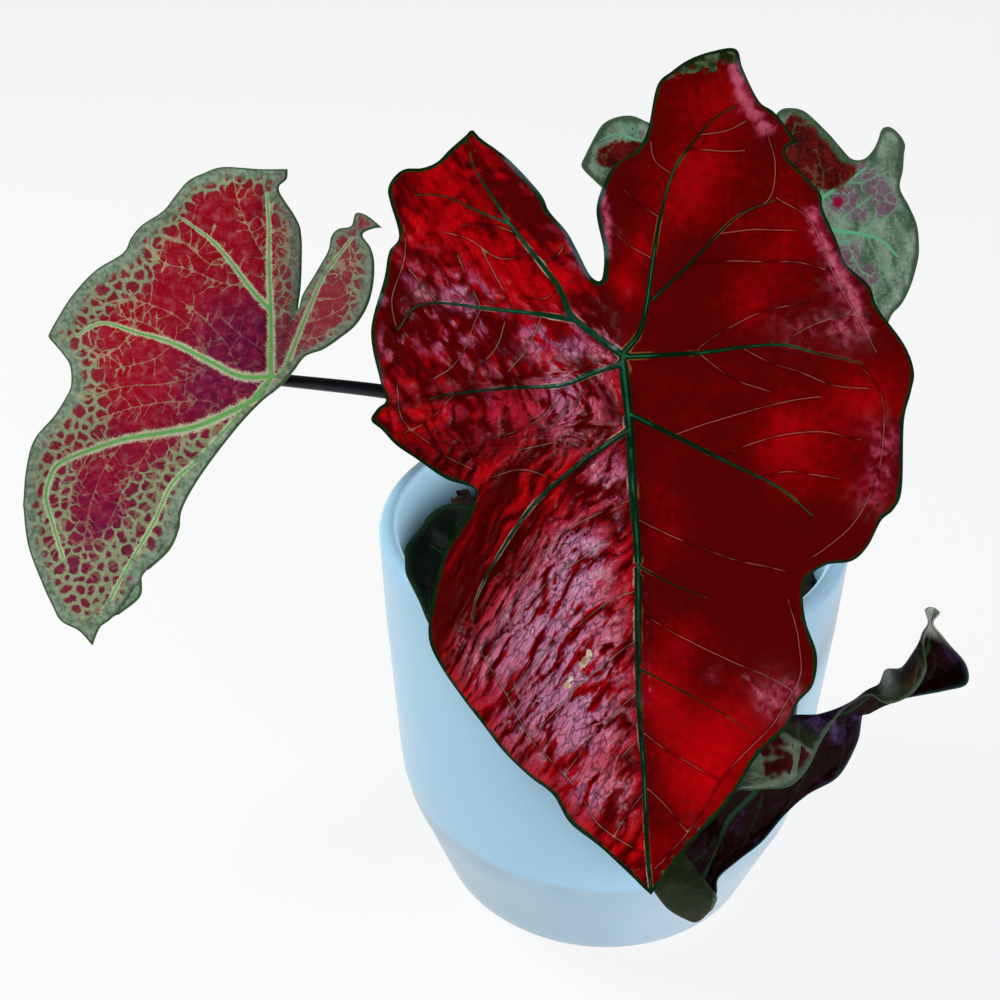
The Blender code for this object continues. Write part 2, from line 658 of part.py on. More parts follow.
def stalk_path(name):
    (foot_x, foot_y), middle = STALK_ROUTES[name]
    crown = TUBER_FLATNESS * math.sqrt(TUBER_RADIUS ** 2 - foot_x ** 2 - foot_y ** 2)
    foot = np.array((foot_x, foot_y, TUBER_CENTRE[2] + crown + TUBER_GAP))
    seat, outward = stalk_end(name)
    top = seat + outward * (RIB_THICKNESS + STALK_GAP)
    neck = top + outward * STALK_NECK
    return spline([foot, *middle, neck, top], STALK_POINTS)


def tube(name, path, radii, collection=PLANT):
    """A round stalk along a path, as a mesh."""
    curve = bpy.data.curves.new(name, "CURVE")
    curve.dimensions = "3D"
    curve.bevel_depth = MM
    curve.bevel_resolution = 2
    curve.use_fill_caps = True
    line = curve.splines.new("POLY")
    line.points.add(len(path) - 1)
    for spot, place, radius in zip(line.points, path, radii):
        spot.co = (*(place * MM), 1)
        spot.radius = radius
    wire = new_object(name + "_curve", curve, collection)
    mesh = evaluated_mesh(wire)
    bpy.data.objects.remove(wire)
    return new_object(name, mesh, collection)


def stalk_radii(count):
    """A stalk is stout where it leaves the tuber and thin below the blade."""
    return STALK_RADIUS * np.linspace(*STALK_TAPER, count)


def make_stalks(soil):
    for name in STALK_ROUTES:
        path = stalk_path(name)
        radii = stalk_radii(len(path))
        stalk = tube(name.replace("leaf", "stalk"), path, radii)
        finish(stalk, STALK_COLOUR, STALK_ROUGHNESS)
        foot = path[0] - np.array((0, 0, HOLE_DEPTH))
        hole = np.vstack((foot, path[:HOLE_POINTS]))
        wide = np.concatenate((radii[:1], radii[:HOLE_POINTS])) + GAP
        cut(soil, tube(name + "_hole", hole, wide, CUTTERS))


def make_pot():
    """One turned shell: inside floor and wall, round lip, outside wall, bevelled foot."""
    centre = POT_RADIUS - POT_LIP
    shoulder = POT_HEIGHT - POT_LIP
    lip = []
    for i in range(LIP_STEPS + 1):
        turn = math.pi * i / LIP_STEPS
        lip.append((centre - POT_LIP * math.cos(turn), shoulder + POT_LIP * math.sin(turn)))
    pot = turned("pot", [*POT_INSIDE, *lip, *POT_OUTSIDE], POT_SIDES)
    finish(pot, POT_COLOUR, POT_ROUGHNESS)


def make_soil():
    """Potting soil, a little uneven on top, filling the pot to below its rim."""
    rings = [(SOIL_RADIUS * i / SOIL_RINGS, SOIL_TOP) for i in range(SOIL_RINGS)]
    blank = turned("soil_blank", [*rings, *SOIL_SIDE], SOIL_SIDES)
    mesh = evaluated_mesh(blank)
    bpy.data.objects.remove(blank)
    for corner in mesh.vertices:
        if corner.co.z > (SOIL_TOP - SOIL_SKIN) * MM:
            bump = noise.noise(corner.co * SOIL_BUMPS_PER_METRE)
            corner.co.z += SOIL_BUMP_HEIGHT * MM * bump
    soil = new_object("soil", mesh)
    finish(soil, SOIL_COLOUR, SOIL_ROUGHNESS)
    return soil


def lump(name, swell, collection):
    """The tuber's flattened ball, slightly knobbly, made larger by swell."""
    mesh = bpy.data.meshes.new(name)
    work = bmesh.new()
    bmesh.ops.create_icosphere(work, subdivisions=2, radius=1)
    centre = Vector(TUBER_CENTRE)
    for corner in work.verts:
        knob = TUBER_KNOBS * noise.noise(corner.co * TUBER_KNOB_COUNT)
        place = corner.co * (TUBER_RADIUS * (1 + knob) + swell)
        place.z *= TUBER_FLATNESS
        corner.co = (centre + place) * MM
    work.to_mesh(mesh)
    work.free()
    return new_object(name, mesh, collection)


def make_tuber(soil):
    tuber = lump("tuber", 0, PLANT)
    finish(tuber, TUBER_COLOUR, TUBER_ROUGHNESS)
    cut(soil, lump("tuber_pocket", TUBER_POCKET, CUTTERS))


def make_dry_sheath():
    """The papery foot of an old stalk: a half-open tube, ragged at its top."""
    points = []
    start, end = SHEATH_OPENING
    height, count = SHEATH_RAGS
    for i in range(SHEATH_ROWS):
        rise = i / (SHEATH_ROWS - 1)
        radius = SHEATH_RADIUS * (1 - SHEATH_TAPER * rise)
        x, y, z = Vector(SHEATH_FOOT).lerp(Vector(SHEATH_TOP), rise)
        for j in range(SHEATH_COLUMNS):
            turn = math.radians(start + (end - start) * j / (SHEATH_COLUMNS - 1))
            points.append(np.array((x + radius * math.cos(turn), y + radius * math.sin(turn),
                                    z + height * rise * math.sin(count * turn))))
    sheath = thicken("dry_sheath", points, strip(SHEATH_ROWS, SHEATH_COLUMNS),
                     np.zeros(len(points)))
    finish(sheath, SHEATH_COLOUR, SHEATH_ROUGHNESS)


make_pot()
SOIL = make_soil()
make_tuber(SOIL)
make_stalks(SOIL)
for BLADE in LEAVES:
    make_blade(BLADE)
make_curled_blade()
make_dry_sheath()
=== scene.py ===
import math
from collections import namedtuple

import bpy
import numpy as np
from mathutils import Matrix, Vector, kdtree
from mathutils.geometry import delaunay_2d_cdt


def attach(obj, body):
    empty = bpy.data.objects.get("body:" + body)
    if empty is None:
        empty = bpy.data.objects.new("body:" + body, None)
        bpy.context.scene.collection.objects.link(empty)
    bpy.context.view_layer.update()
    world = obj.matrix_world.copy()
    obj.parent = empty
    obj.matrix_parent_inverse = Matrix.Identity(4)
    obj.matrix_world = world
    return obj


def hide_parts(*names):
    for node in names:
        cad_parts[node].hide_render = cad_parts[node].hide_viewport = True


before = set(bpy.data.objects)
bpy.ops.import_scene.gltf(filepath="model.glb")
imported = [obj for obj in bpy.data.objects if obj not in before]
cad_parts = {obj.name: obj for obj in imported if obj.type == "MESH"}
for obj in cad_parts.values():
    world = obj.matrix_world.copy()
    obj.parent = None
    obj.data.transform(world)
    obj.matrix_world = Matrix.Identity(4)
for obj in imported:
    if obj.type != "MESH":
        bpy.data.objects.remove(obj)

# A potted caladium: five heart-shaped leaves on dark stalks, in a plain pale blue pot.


def write_size():
    """Bring the scene's placements up to date."""
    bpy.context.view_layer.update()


write_size()


# Camera. It looks down on the plant from in front, as the photographer did. The leaves are
# drawn on its picture: FOCUS units in front of the eye, the middle of the picture at MIDDLE.
# Lengths are in millimetres, and MM turns them into metres.
MM = 0.001
EYE = np.array((-33.7, -335.9, 331.2))
LOOK_DOWN = math.radians(30.36)
RIGHT = np.array((1.0, 0.0, 0.0))
UP = np.array((0.0, math.sin(LOOK_DOWN), math.cos(LOOK_DOWN)))
AWAY = np.array((0.0, math.cos(LOOK_DOWN), -math.sin(LOOK_DOWN)))
FOCUS = 1300.0
MIDDLE = 500.0

lens = bpy.data.cameras.new("camera")
lens.lens = lens.sensor_width * FOCUS / (2 * MIDDLE)
lens.clip_start = 0.02
camera = bpy.data.objects.new("camera", lens)
camera.location = EYE * MM
camera.rotation_euler = (math.pi / 2 - LOOK_DOWN, 0, 0)
bpy.context.scene.collection.objects.link(camera)
bpy.context.scene.camera = camera
bpy.context.scene.view_settings.view_transform = "Standard"


# Floor and light of the photograph: a plain white sweep, and big soft boxes. The one low on
# the right is reflected by the coat on the left half of the front leaf, where a sheen is also
# painted.
def screen(red, green, blue):
    """A colour as a screen shows it, 0 to 255, turned to linear light."""
    return (*[((part / 255 + 0.055) / 1.055) ** 2.4 for part in (red, green, blue)], 1.0)


def two_way(operation):
    """An operator that adds a Math node, and its reflected form."""
    return (lambda self, other: self.math(operation, self, other),
            lambda self, other: self.math(operation, other, self))


class Wire:
    """An output of a material's node, with arithmetic that adds Math nodes."""

    def __init__(self, tree, socket=None):
        self.tree = tree
        self.socket = socket

    def node(self, kind, settings, sockets, output=0):
        """Any other node: its type, its settings first, then what goes into its sockets."""
        made = self.tree.nodes.new("ShaderNode" + kind)
        for name, value in settings.items():
            setattr(made, name, value)
        for name, value in sockets.items():
            if isinstance(value, Wire):
                self.tree.links.new(value.socket, made.inputs[name])
            else:
                made.inputs[name].default_value = value
        return Wire(self.tree, made.outputs[output])

    def math(self, operation, first, second):
        return self.node("Math", {"operation": operation}, {0: first, 1: second})

    __add__, __radd__ = two_way("ADD")
    __sub__, __rsub__ = two_way("SUBTRACT")
    __mul__, __rmul__ = two_way("MULTIPLY")
    __truediv__, __rtruediv__ = two_way("DIVIDE")
    __pow__, __rpow__ = two_way("POWER")

    def highest(self, other):
        return self.math("MAXIMUM", self, other)

    def lowest(self, other):
        return self.math("MINIMUM", self, other)

    def rise(self, start, end):
        """0 below start and 1 above end, with a soft step between; end may be the lower."""
        return self.node("MapRange", {"interpolation_type": "SMOOTHSTEP"},
                         {"Value": self, "From Min": start, "From Max": end})

    def fade(self, first, second):
        """A colour that goes from the first to the second as this value goes from 0 to 1.
        Three plain numbers are a colour of the screen."""
        ends = [screen(*colour) if isinstance(colour, tuple) and len(colour) == 3 else colour
                for colour in (first, second)]
        return self.node("Mix", {"data_type": "RGBA"}, {0: self, 6: ends[0], 7: ends[1]}, 2)

    def __getitem__(self, name):
        """A mark that the mesh keeps on its points."""
        return self.node("Attribute", {"attribute_name": name}, {}, 2)

    def marks(self, names):
        """Several of the mesh's marks, named in one string."""
        return [self[name] for name in names.split()]

    def axis(self, number):
        """One of the object's own three coordinates, in metres."""
        return self.node("SeparateXYZ", {}, {0: self.node("TexCoord", {}, {}, 3)}, number)

    def grain(self, scale, detail=3.0, roughness=0.55, squeeze=(1, 1, 1)):
        """Noise from 0 to 1 over the object, scale to the metre, finer along the squeeze."""
        place = self.node("TexCoord", {}, {}, 3)
        place = self.node("VectorMath", {"operation": "MULTIPLY"}, {0: place, 1: squeeze})
        return self.node("TexNoise", {}, {"Vector": place, "Scale": scale, "Detail": detail,
                                          "Roughness": roughness})

    def flat_grain(self, x, y, detail=3.0, distortion=0.0):
        """Noise from 0 to 1 over a blade's own two coordinates, its grains one unit wide."""
        place = self.node("CombineXYZ", {}, {0: x, 1: y})
        return self.node("TexNoise", {}, {"Vector": place, "Scale": 1.0, "Detail": detail,
                                          "Distortion": distortion})

    def cracks(self, x, y):
        """How far a place is from the walls of irregular cells that are one unit wide."""
        place = self.node("CombineXYZ", {}, {0: x, 1: y})
        return self.node("TexVoronoi", {"feature": "DISTANCE_TO_EDGE"},
                         {"Vector": place, "Scale": 1.0})


def coat(obj, name, colour, roughness, **fixed):
    """Give an object a material. A value may be a function that is handed an empty wire."""
    made = bpy.data.materials.new(name)
    made.use_nodes = True
    shader = made.node_tree.nodes["Principled BSDF"]
    wires = {"Base Color": colour, "Roughness": roughness, **fixed}
    for socket, value in wires.items():
        if callable(value):
            value = value(Wire(made.node_tree))
        if isinstance(value, Wire):
            made.node_tree.links.new(value.socket, shader.inputs[socket])
        else:
            shader.inputs[socket].default_value = value
    obj.data.materials.clear()
    obj.data.materials.append(made)


FLOOR_SIZE = 60.0
FLOOR_HEIGHT = -MM
FLOOR_GREY = screen(96, 96, 96)
FLOOR_GLOW = 0.86
ROOM_COLOUR = (0.9, 0.95, 1.0, 1)
ROOM_LIGHT = 0.22
floor_mesh = bpy.data.meshes.new("floor")
floor_mesh.from_pydata([(x * FLOOR_SIZE / 2, y * FLOOR_SIZE / 2, FLOOR_HEIGHT)
                        for x, y in ((-1, -1), (1, -1), (1, 1), (-1, 1))], [], [(0, 1, 2, 3)])
floor = bpy.data.objects.new("floor", floor_mesh)
bpy.context.scene.collection.objects.link(floor)
coat(floor, "floor", FLOOR_GREY, 0.9, **{"Specular IOR Level": 0.0,
                                         "Emission Color": (1, 1, 1, 1),
                                         "Emission Strength": FLOOR_GLOW})

world = bpy.data.worlds.new("studio")
world.use_nodes = True
background = world.node_tree.nodes["Background"]
background.inputs["Color"].default_value = ROOM_COLOUR
background.inputs["Strength"].default_value = ROOM_LIGHT
bpy.context.scene.world = world


def soft_box(name, place, aim, size, watts, colour):
    """A square studio light at a place, turned to what it lights; lengths in metres."""
    lamp = bpy.data.lights.new(name, "AREA")
    lamp.size = size
    lamp.energy = watts
    lamp.color = colour
    made = bpy.data.objects.new(name, lamp)
    made.location = place
    made.rotation_euler = (Vector(aim) - Vector(place)).to_track_quat("-Z", "Y").to_euler()
    bpy.context.scene.collection.objects.link(made)


soft_box("high_left", (-0.9, 0.15, 1.1), (0, 0, 0.15), 0.45, 12.0, (0.95, 0.98, 1.0))
soft_box("low_right", (0.55, -1.1, 0.45), (0, -0.05, 0.2), 0.5, 7.0, (1.0, 0.93, 0.98))


# Pot: one turned shell of slip-cast earthenware with a satin pale blue glaze. Its wall leans
# out to a round lip, and a bevel runs in to a small flat foot.
POT_HEIGHT = 129.5
POT_RADIUS = 70.0
POT_LIP = 2.8
POT_SIDES = 192
POT_LIP_STEPS = 16
POT_INSIDE = ((0, 6.5), (44, 6.5), (47.2, 7.3), (48.5, 9), (58, 29), (60.4, 41), (62.1, 70),
              (63.6, 100))
POT_OUTSIDE = ((69.3, 100), (67.8, 70), (66.8, 49), (66.2, 41.6), (65.9, 40.2), (64.6, 34),
               (62, 27), (55, 7), (53.4, 2.4), (52, 0.6), (50.4, 0), (0, 0))
POT_GLAZE = (156, 204, 230)
POT_BEVEL = (150, 184, 204)
# Painted light: a glow down inside its wall, and a painted highlight round the lip. Its colour,
# and where it fades, in metres
POT_PAINTED_GLOW = (150, 186, 206)
POT_PAINTED_GLOW_RADIUS = (0.0668, 0.0648)
POT_PAINTED_GLOW_HEIGHT = (0.108, 0.129)
POT_LIP_HIGHLIGHT_HEIGHT = (0.1265, 0.1295)
POT_BEVEL_HEIGHT = (0.0425, 0.0385)


def new_piece(name, mesh, stands_for):
    """Add a mesh to the scene, in place of a CAD piece where one is named."""
    piece = bpy.data.objects.new(name, mesh)
    bpy.context.scene.collection.objects.link(piece)
    mesh.shade_smooth()
    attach(piece, "root")
    if stands_for:
        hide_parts(stands_for)
    return piece


def turned(name, profile, sides):
    """A mesh turned round the Z axis from (radius, height) points; its ends are on the axis."""
    turns = np.linspace(0, 2 * math.pi, sides, endpoint=False)
    points = [(0, 0, profile[0][1])]
    faces = []
    for radius, height in profile[1:-1]:
        points.extend((radius * math.cos(t), radius * math.sin(t), height) for t in turns)
    points.append((0, 0, profile[-1][1]))
    last = len(points) - 1
    for j in range(sides):
        k = (j + 1) % sides
        faces.append((0, 1 + k, 1 + j))
        for ring in range(len(profile) - 3):
            a = 1 + ring * sides
            faces.append((a + j, a + k, a + sides + k, a + sides + j))
        faces.append((last, last - sides + j, last - sides + k))
    mesh = bpy.data.meshes.new(name)
    mesh.from_pydata([[value * MM for value in point] for point in points], [], faces)
    return mesh


lip = [(POT_RADIUS - POT_LIP - POT_LIP * math.cos(math.pi * i / POT_LIP_STEPS),
        POT_HEIGHT - POT_LIP + POT_LIP * math.sin(math.pi * i / POT_LIP_STEPS))
       for i in range(POT_LIP_STEPS + 1)]
pot = new_piece("glazed_pot", turned("glazed_pot", [*POT_INSIDE, *lip, *POT_OUTSIDE], POT_SIDES),
                "pot")


def pot_colour(wire):
    cloudy = wire.grain(18, 2).rise(0.3, 0.7) * 0.25 + wire.grain(700, 2) * 0.12
    glaze = cloudy.fade(POT_GLAZE, (178, 218, 238))
    bevel = wire.grain(24, 2).rise(0.35, 0.7).fade(POT_BEVEL, (162, 196, 213))
    return wire.axis(2).rise(*POT_BEVEL_HEIGHT).fade(glaze, bevel)


def pot_painted_glow(wire):
    """Painted light on the glazed wall: a painted highlight round the lip, and a painted glow down
    inside it.
    """
    x, y, height = [wire.axis(number) for number in range(3)]
    radius = (x * x + y * y) ** 0.5
    within = radius.rise(*POT_PAINTED_GLOW_RADIUS) * height.rise(*POT_PAINTED_GLOW_HEIGHT)
    lit = within.highest(height.rise(*POT_LIP_HIGHLIGHT_HEIGHT) * 0.3)
    return lit.fade((0, 0, 0, 1), POT_PAINTED_GLOW)


# The emission paints light on the pot: a glow inside the wall and a highlight on the lip.
coat(pot, "pale_blue_glaze", pot_colour, lambda wire: 0.3 + wire.grain(60) * 0.15,
     **{"Coat Weight": 0.3, "Emission Color": pot_painted_glow, "Emission Strength": 1.0})


# Front leaf: a big heart-shaped blade, deep red with dark green veins, leathery and waxy.
# It grew in one piece; the veins lie in grooves on top and stand out as ribs beneath.
Leaf = namedtuple("Leaf", "name distance joint outline corners veins sides depth")

FRONT_OUTLINE = (
    (651, 895), (624, 869), (599, 846), (570, 823), (553, 795), (530, 777), (504, 752), (484, 726),
    (461, 696), (440, 665), (429, 640), (430, 612), (436, 583), (445, 549), (466, 518), (475, 500),
    (473, 488), (446, 479), (415, 458), (396, 445), (382, 430), (371, 420), (378, 408), (386, 400),
    (380, 380), (371, 331), (384, 279), (389, 252), (399, 236), (390, 202), (388, 189), (394, 177),
    (405, 169), (422, 168), (437, 162), (449, 150), (465, 136), (472, 130), (480, 138), (508, 159),
    (540, 193), (549, 211), (567, 232), (578, 252), (590, 275), (600, 281), (604, 270), (604, 248),
    (597, 212), (603, 186), (614, 166), (637, 149), (648, 128), (657, 86), (672, 71), (690, 59),
    (713, 51), (736, 49), (743, 69), (759, 101), (775, 113), (798, 142), (787, 148), (789, 159),
    (819, 191), (823, 209), (837, 241), (846, 264), (869, 285), (878, 308), (904, 344), (914, 371),
    (911, 392), (904, 422), (902, 488), (894, 509), (881, 521), (868, 546), (852, 561), (826, 565),
    (808, 578), (803, 594), (806, 622), (817, 655), (813, 685), (798, 703), (785, 730), (759, 754),
    (726, 805), (698, 836), (675, 864),
)
FRONT_CORNERS = ((651, 895), (798, 142))
# Each vein: its width in millimetres at its start and end, and the points that it follows
FRONT_VEINS = (
    (2.4, 0.9, ((622, 355), (629, 422), (633, 491), (638, 560), (638, 642), (639, 706),
                (644, 770), (647, 846), (651, 890))),
    (1.8, 0.35, ((622, 355), (574, 318), (560, 289), (539, 261), (511, 225), (476, 171),
                (470, 152))),
    (0.6, 0.3, ((511, 225), (478, 211), (444, 196), (415, 195))),
    (1.3, 0.35, ((574, 320), (539, 314), (483, 308), (440, 303), (414, 308), (398, 330))),
    (1.5, 0.3, ((622, 364), (592, 373), (560, 385), (509, 388), (453, 394), (430, 399))),
    (1.5, 0.25, ((627, 431), (590, 456), (560, 480), (534, 504), (504, 546), (476, 599),
                (473, 634))),
    (1.4, 0.35, ((622, 355), (642, 326), (653, 260), (660, 218), (672, 175), (688, 149),
                (713, 120), (735, 106))),
    (0.9, 0.3, ((653, 299), (690, 264), (718, 234), (741, 214), (775, 200))),
    (1.4, 0.3, ((622, 357), (698, 353), (744, 347), (783, 345), (817, 353), (861, 363))),
    (1.4, 0.4, ((628, 413), (675, 436), (721, 459), (778, 487), (813, 516))),
    (0.6, 0.2, ((638, 566), (670, 583), (707, 598))),
    (0.5, 0.2, ((638, 668), (680, 690), (720, 712), (755, 735))),
)
FRONT_SIDES = (
    ((638, 590), (600, 608), (560, 640), (530, 672), (507, 697)),
    ((639, 640), (610, 660), (575, 690), (545, 722), (531, 739)),
    ((640, 690), (615, 712), (590, 740), (566, 776)),
    ((642, 735), (620, 760), (600, 792), (590, 810)),
    ((645, 790), (628, 815), (615, 838)),
    ((636, 520), (600, 545), (560, 575), (520, 610), (487, 655)),
    ((634, 500), (580, 522), (540, 560), (505, 612), (480, 648)),
    ((483, 310), (457, 360), (433, 379)),
    ((511, 311), (497, 345), (470, 372)),
    ((545, 315), (530, 345), (508, 372)),
    ((483, 308), (470, 280), (458, 255)),
    ((515, 310), (500, 282), (484, 252)),
    ((440, 303), (426, 285), (410, 268)),
    ((560, 289), (545, 300), (520, 297)),
    ((530, 250), (500, 258), (470, 240), (440, 232)),
    ((517, 232), (490, 225), (462, 226)),
    ((539, 261), (555, 255), (563, 245)),
    ((560, 385), (548, 410), (520, 430), (488, 440)),
    ((592, 374), (575, 402), (545, 430)),
    ((560, 480), (525, 470), (490, 478)),
    ((590, 456), (560, 440), (520, 450)),
    ((636, 520), (680, 540), (735, 560), (795, 575)),
    ((640, 730), (685, 760), (722, 782)),
    ((645, 790), (668, 812), (690, 832)),
    ((638, 610), (690, 640), (745, 668), (790, 690)),
    ((721, 459), (760, 440), (810, 430), (860, 440)),
    ((675, 436), (720, 420), (770, 405), (820, 398)),
    ((755, 477), (790, 470), (840, 480)),
    ((744, 347), (790, 370), (830, 385), (872, 390)),
    ((698, 353), (735, 378), (770, 392)),
    ((783, 345), (812, 325), (845, 315), (870, 318)),
    ((698, 351), (730, 325), (770, 310), (815, 300)),
    ((690, 264), (735, 262), (785, 262), (825, 270)),
    ((718, 234), (755, 230), (795, 232)),
    ((741, 214), (770, 200), (776, 165), (768, 130)),
    ((660, 218), (640, 205), (625, 190)),
    ((672, 175), (655, 160), (652, 140)),
    ((688, 149), (715, 150), (745, 150)),
    ((700, 135), (725, 130), (748, 120)),
    ((653, 260), (628, 245), (612, 230)),
    ((453, 394), (430, 420), (405, 432)),
    ((473, 634), (486, 662), (507, 698), (530, 739), (545, 754), (579, 791), (596, 823),
     (642, 854)),
    ((861, 363), (881, 394), (882, 440), (876, 478), (850, 530), (805, 560)),
    ((790, 600), (800, 640), (798, 680), (770, 725), (722, 782), (690, 832), (655, 870)),
    ((777, 199), (810, 225), (832, 270), (858, 318), (878, 350)),
    ((398, 330), (393, 300), (404, 262), (404, 225), (396, 196)),
    ((397, 359), (398, 390), (405, 420), (440, 452), (470, 470)),
)


# Its relief: the middle and half width of the blade, how deep the valley is and how high the
# halves arch, from where the tip and the lobes bend back and how strongly, and the waves and
# frills of its margin as (height, number round the leaf, turn)
FRONT_MIDDLE = 3.0
FRONT_LEAN = 0.03
FRONT_HALF = 62.0
FRONT_VALLEY = 11.0
FRONT_ARCH = 9.5
FRONT_ARCH_POWER = 2.2
FRONT_TIP_BEND = 0.0011
FRONT_TIP_START = 20.0
FRONT_LOBE_BEND = 0.0021
FRONT_LOBE_START = 12.0
FRONT_HEART = 25.0
FRONT_REACH = 75.0
FRONT_WAVES = (2.6, 6, 0.8)
FRONT_FRILLS = (1.3, 13)


def frill(u, v, reach, height, count, turn=0.0, power=2):
    """Waves round a blade, growing towards its margin."""
    far = np.hypot(u, v) / reach
    return height * far ** power * np.sin(count * np.arctan2(v, u) + turn)


def front_depth(u, v):
    """Valley along the midrib, halves arched over to the margins, lobes and tip bent back."""
    across = (u - FRONT_MIDDLE + FRONT_LEAN * v * (v < 0)) / FRONT_HALF
    spread = np.abs(across)
    arch = FRONT_ARCH * spread ** FRONT_ARCH_POWER - FRONT_VALLEY * spread
    tip = FRONT_TIP_BEND * np.clip(-v - FRONT_TIP_START, 0, None) ** 2
    lobes = FRONT_LOBE_BEND * np.clip(v - FRONT_LOBE_START, 0, None) ** 2
    waves = frill(u, v + FRONT_HEART, FRONT_REACH, *FRONT_WAVES)
    frills = frill(u, v + FRONT_HEART, FRONT_REACH, *FRONT_FRILLS, power=3)
    return arch + tip + lobes + waves + frills


def smooth(x):
    """A soft step from 0 at x = 0 to 1 at x = 1."""
    x = np.clip(x, 0, 1)
    return x * x * (3 - 2 * x)


SPLINE_STEPS = 12


def spline(points, count):
    """Points at even steps of the parameter on a Catmull-Rom curve through the given ones."""
    known = [np.array(point, float) for point in points]
    known = [2 * known[0] - known[1]] + known + [2 * known[-1] - known[-2]]
    found = []
    for value in np.linspace(0, len(points) - 1, count):
        start = min(int(value), len(points) - 2)
        t = value - start
        a, b, c, d = known[start:start + 4]
        found.append(0.5 * (2 * b + (c - a) * t + (2 * a - 5 * b + 4 * c - d) * t ** 2
                            + (3 * b - a - 3 * c + d) * t ** 3))
    return np.array(found)


def even_steps(points, step):
    """The smooth curve through points, cut into equal lengths of about the given step."""
    fine = spline(points, SPLINE_STEPS * len(points))
    lengths = np.linalg.norm(np.diff(fine, axis=0), axis=1)
    travelled = np.concatenate(([0], np.cumsum(lengths)))
    wanted = np.linspace(0, travelled[-1], max(2, round(travelled[-1] / step) + 1))
    return np.array([np.interp(wanted, travelled, fine[:, axis]) for axis in (0, 1)]).T


def margin_line(outline, corners, step):
    """The closed, waved edge of a blade, smooth between its corners."""
    points = list(outline)
    first = points.index(corners[0])
    points = points[first:] + points[:first] + [corners[0]]
    stops = [i for i, point in enumerate(points) if point in corners]
    line = []
    for start, end in zip(stops, stops[1:]):
        line.extend(even_steps(points[start:end + 1], step)[:-1])
    return np.array(line)


TINY = 1e-9


def inside(points, loop):
    """Which of the points lie inside a closed loop."""
    found = np.zeros(len(points), bool)
    for (x0, y0), (x1, y1) in zip(loop, np.roll(loop, -1, axis=0)):
        crosses = (y0 > points[:, 1]) != (y1 > points[:, 1])
        slope = (x1 - x0) / (y1 - y0 if y1 != y0 else TINY)
        found ^= crosses & (points[:, 0] < slope * (points[:, 1] - y0) + x0)
    return found


CLOUD_TILE = 64


def cloud(x, y, seed):
    """Soft random hills about one unit wide, from -1 to 1, over arrays of places."""
    table = np.random.default_rng(seed).random((CLOUD_TILE, CLOUD_TILE)) * 2 - 1
    column = np.floor(x).astype(int)
    row = np.floor(y).astype(int)
    across = smooth(x - column)
    up = smooth(y - row)
    column, row = column % CLOUD_TILE, row % CLOUD_TILE
    right, above = (column + 1) % CLOUD_TILE, (row + 1) % CLOUD_TILE
    low = table[row, column] * (1 - across) + table[row, right] * across
    high = table[above, column] * (1 - across) + table[above, right] * across
    return low * (1 - up) + high * up


def nearest(points, spots):
    """The distance from each flat point to the nearest spot, and that spot's number."""
    tree = kdtree.KDTree(len(spots))
    for index, spot in enumerate(spots):
        tree.insert((spot[0], spot[1], 0), index)
    tree.balance()
    found = [tree.find((point[0], point[1], 0))[1:] for point in points]
    return np.array([far for _, far in found]), np.array([index for index, _ in found])


def on_sight_line(leaf, u, v, depth):
    """The place in space of a point of a leaf's sheet, pushed away from the eye by depth."""
    right = (leaf.joint[0] - MIDDLE) / FOCUS + u / leaf.distance
    up = (MIDDLE - leaf.joint[1]) / FOCUS + v / leaf.distance
    reach = leaf.distance + depth
    return EYE + reach[:, None] * (AWAY + right[:, None] * RIGHT + up[:, None] * UP)


def sheet(leaf, points):
    """Points of the picture as millimetres on a leaf's sheet, from where its stalk joins."""
    flat = np.array(points, float) - leaf.joint
    return flat * (1, -1) * leaf.distance / FOCUS


ROW_GAP = 0.866


def hexagons(margin, step, jitter, seed):
    """Points over the sheet in staggered rows, each moved a little at random."""
    low = margin.min(axis=0) - step
    high = margin.max(axis=0) + step
    rows = np.arange(low[1], high[1], step * ROW_GAP)
    points = np.array([(x + (i % 2) * step / 2, y) for i, y in enumerate(rows)
                       for x in np.arange(low[0], high[0], step)])
    return points + np.random.default_rng(seed).uniform(-jitter, jitter, points.shape) * step


def bent(line, wave, reach, seed):
    """A line with smooth wandering bends, of a given length and reach."""
    x, y = line.T / wave
    return line + reach * np.array((cloud(x, y, seed + 1), cloud(x, y, seed + 2))).T


def triangulated(points, edges=(), loops=(), part=0, nearness=1e-6):
    """Triangles over flat points: part 0 of all, or 1 of those inside the loops."""
    flat = [Vector(point) for point in points]
    corners, _, triangles, *_ = delaunay_2d_cdt(flat, edges, loops, part, nearness)
    return np.array([tuple(corner) for corner in corners]), np.array([*map(list, triangles)])


# The finest veins: how unevenly their cells lie, and their bends against the size of a cell
NET_JITTER = 0.46
NET_WAVE = 0.45
NET_REACH = 0.2


def vein_net(margin, cell, step, seed):
    """The finest veins: wandering walls between cells, as short lines of points."""
    corners, triangles = triangulated(hexagons(margin, cell, NET_JITTER, seed))
    middles = corners[triangles].mean(axis=1)
    walls = {}
    for number, (a, b, c) in enumerate(triangles.tolist()):
        for pair in ((a, b), (b, c), (c, a)):
            walls.setdefault((min(pair), max(pair)), []).append(number)
    lines = []
    for pair in walls.values():
        if len(pair) == 2:
            start, end = middles[pair]
            count = max(2, round(np.linalg.norm(end - start) / step) + 1)
            line = np.linspace(start, end, count)
            lines.append(bent(line, NET_WAVE * cell, NET_REACH * cell, seed))
    return lines


def dense(lines, step=0.1):
    """Every line filled in with points at a small step, to measure distances to it."""
    spots = []
    for line in lines:
        for start, end in zip(line[:-1], line[1:]):
            count = max(1, math.ceil(np.linalg.norm(end - start) / step))
            spots.append(start + (end - start) * np.arange(count)[:, None] / count)
        spots.append(line[-1:])
    return np.vstack(spots)


TWIG_LEAN = (35, 80)
TWIG_SHORTEST = 0.25
TWIG_WANDER = 0.22


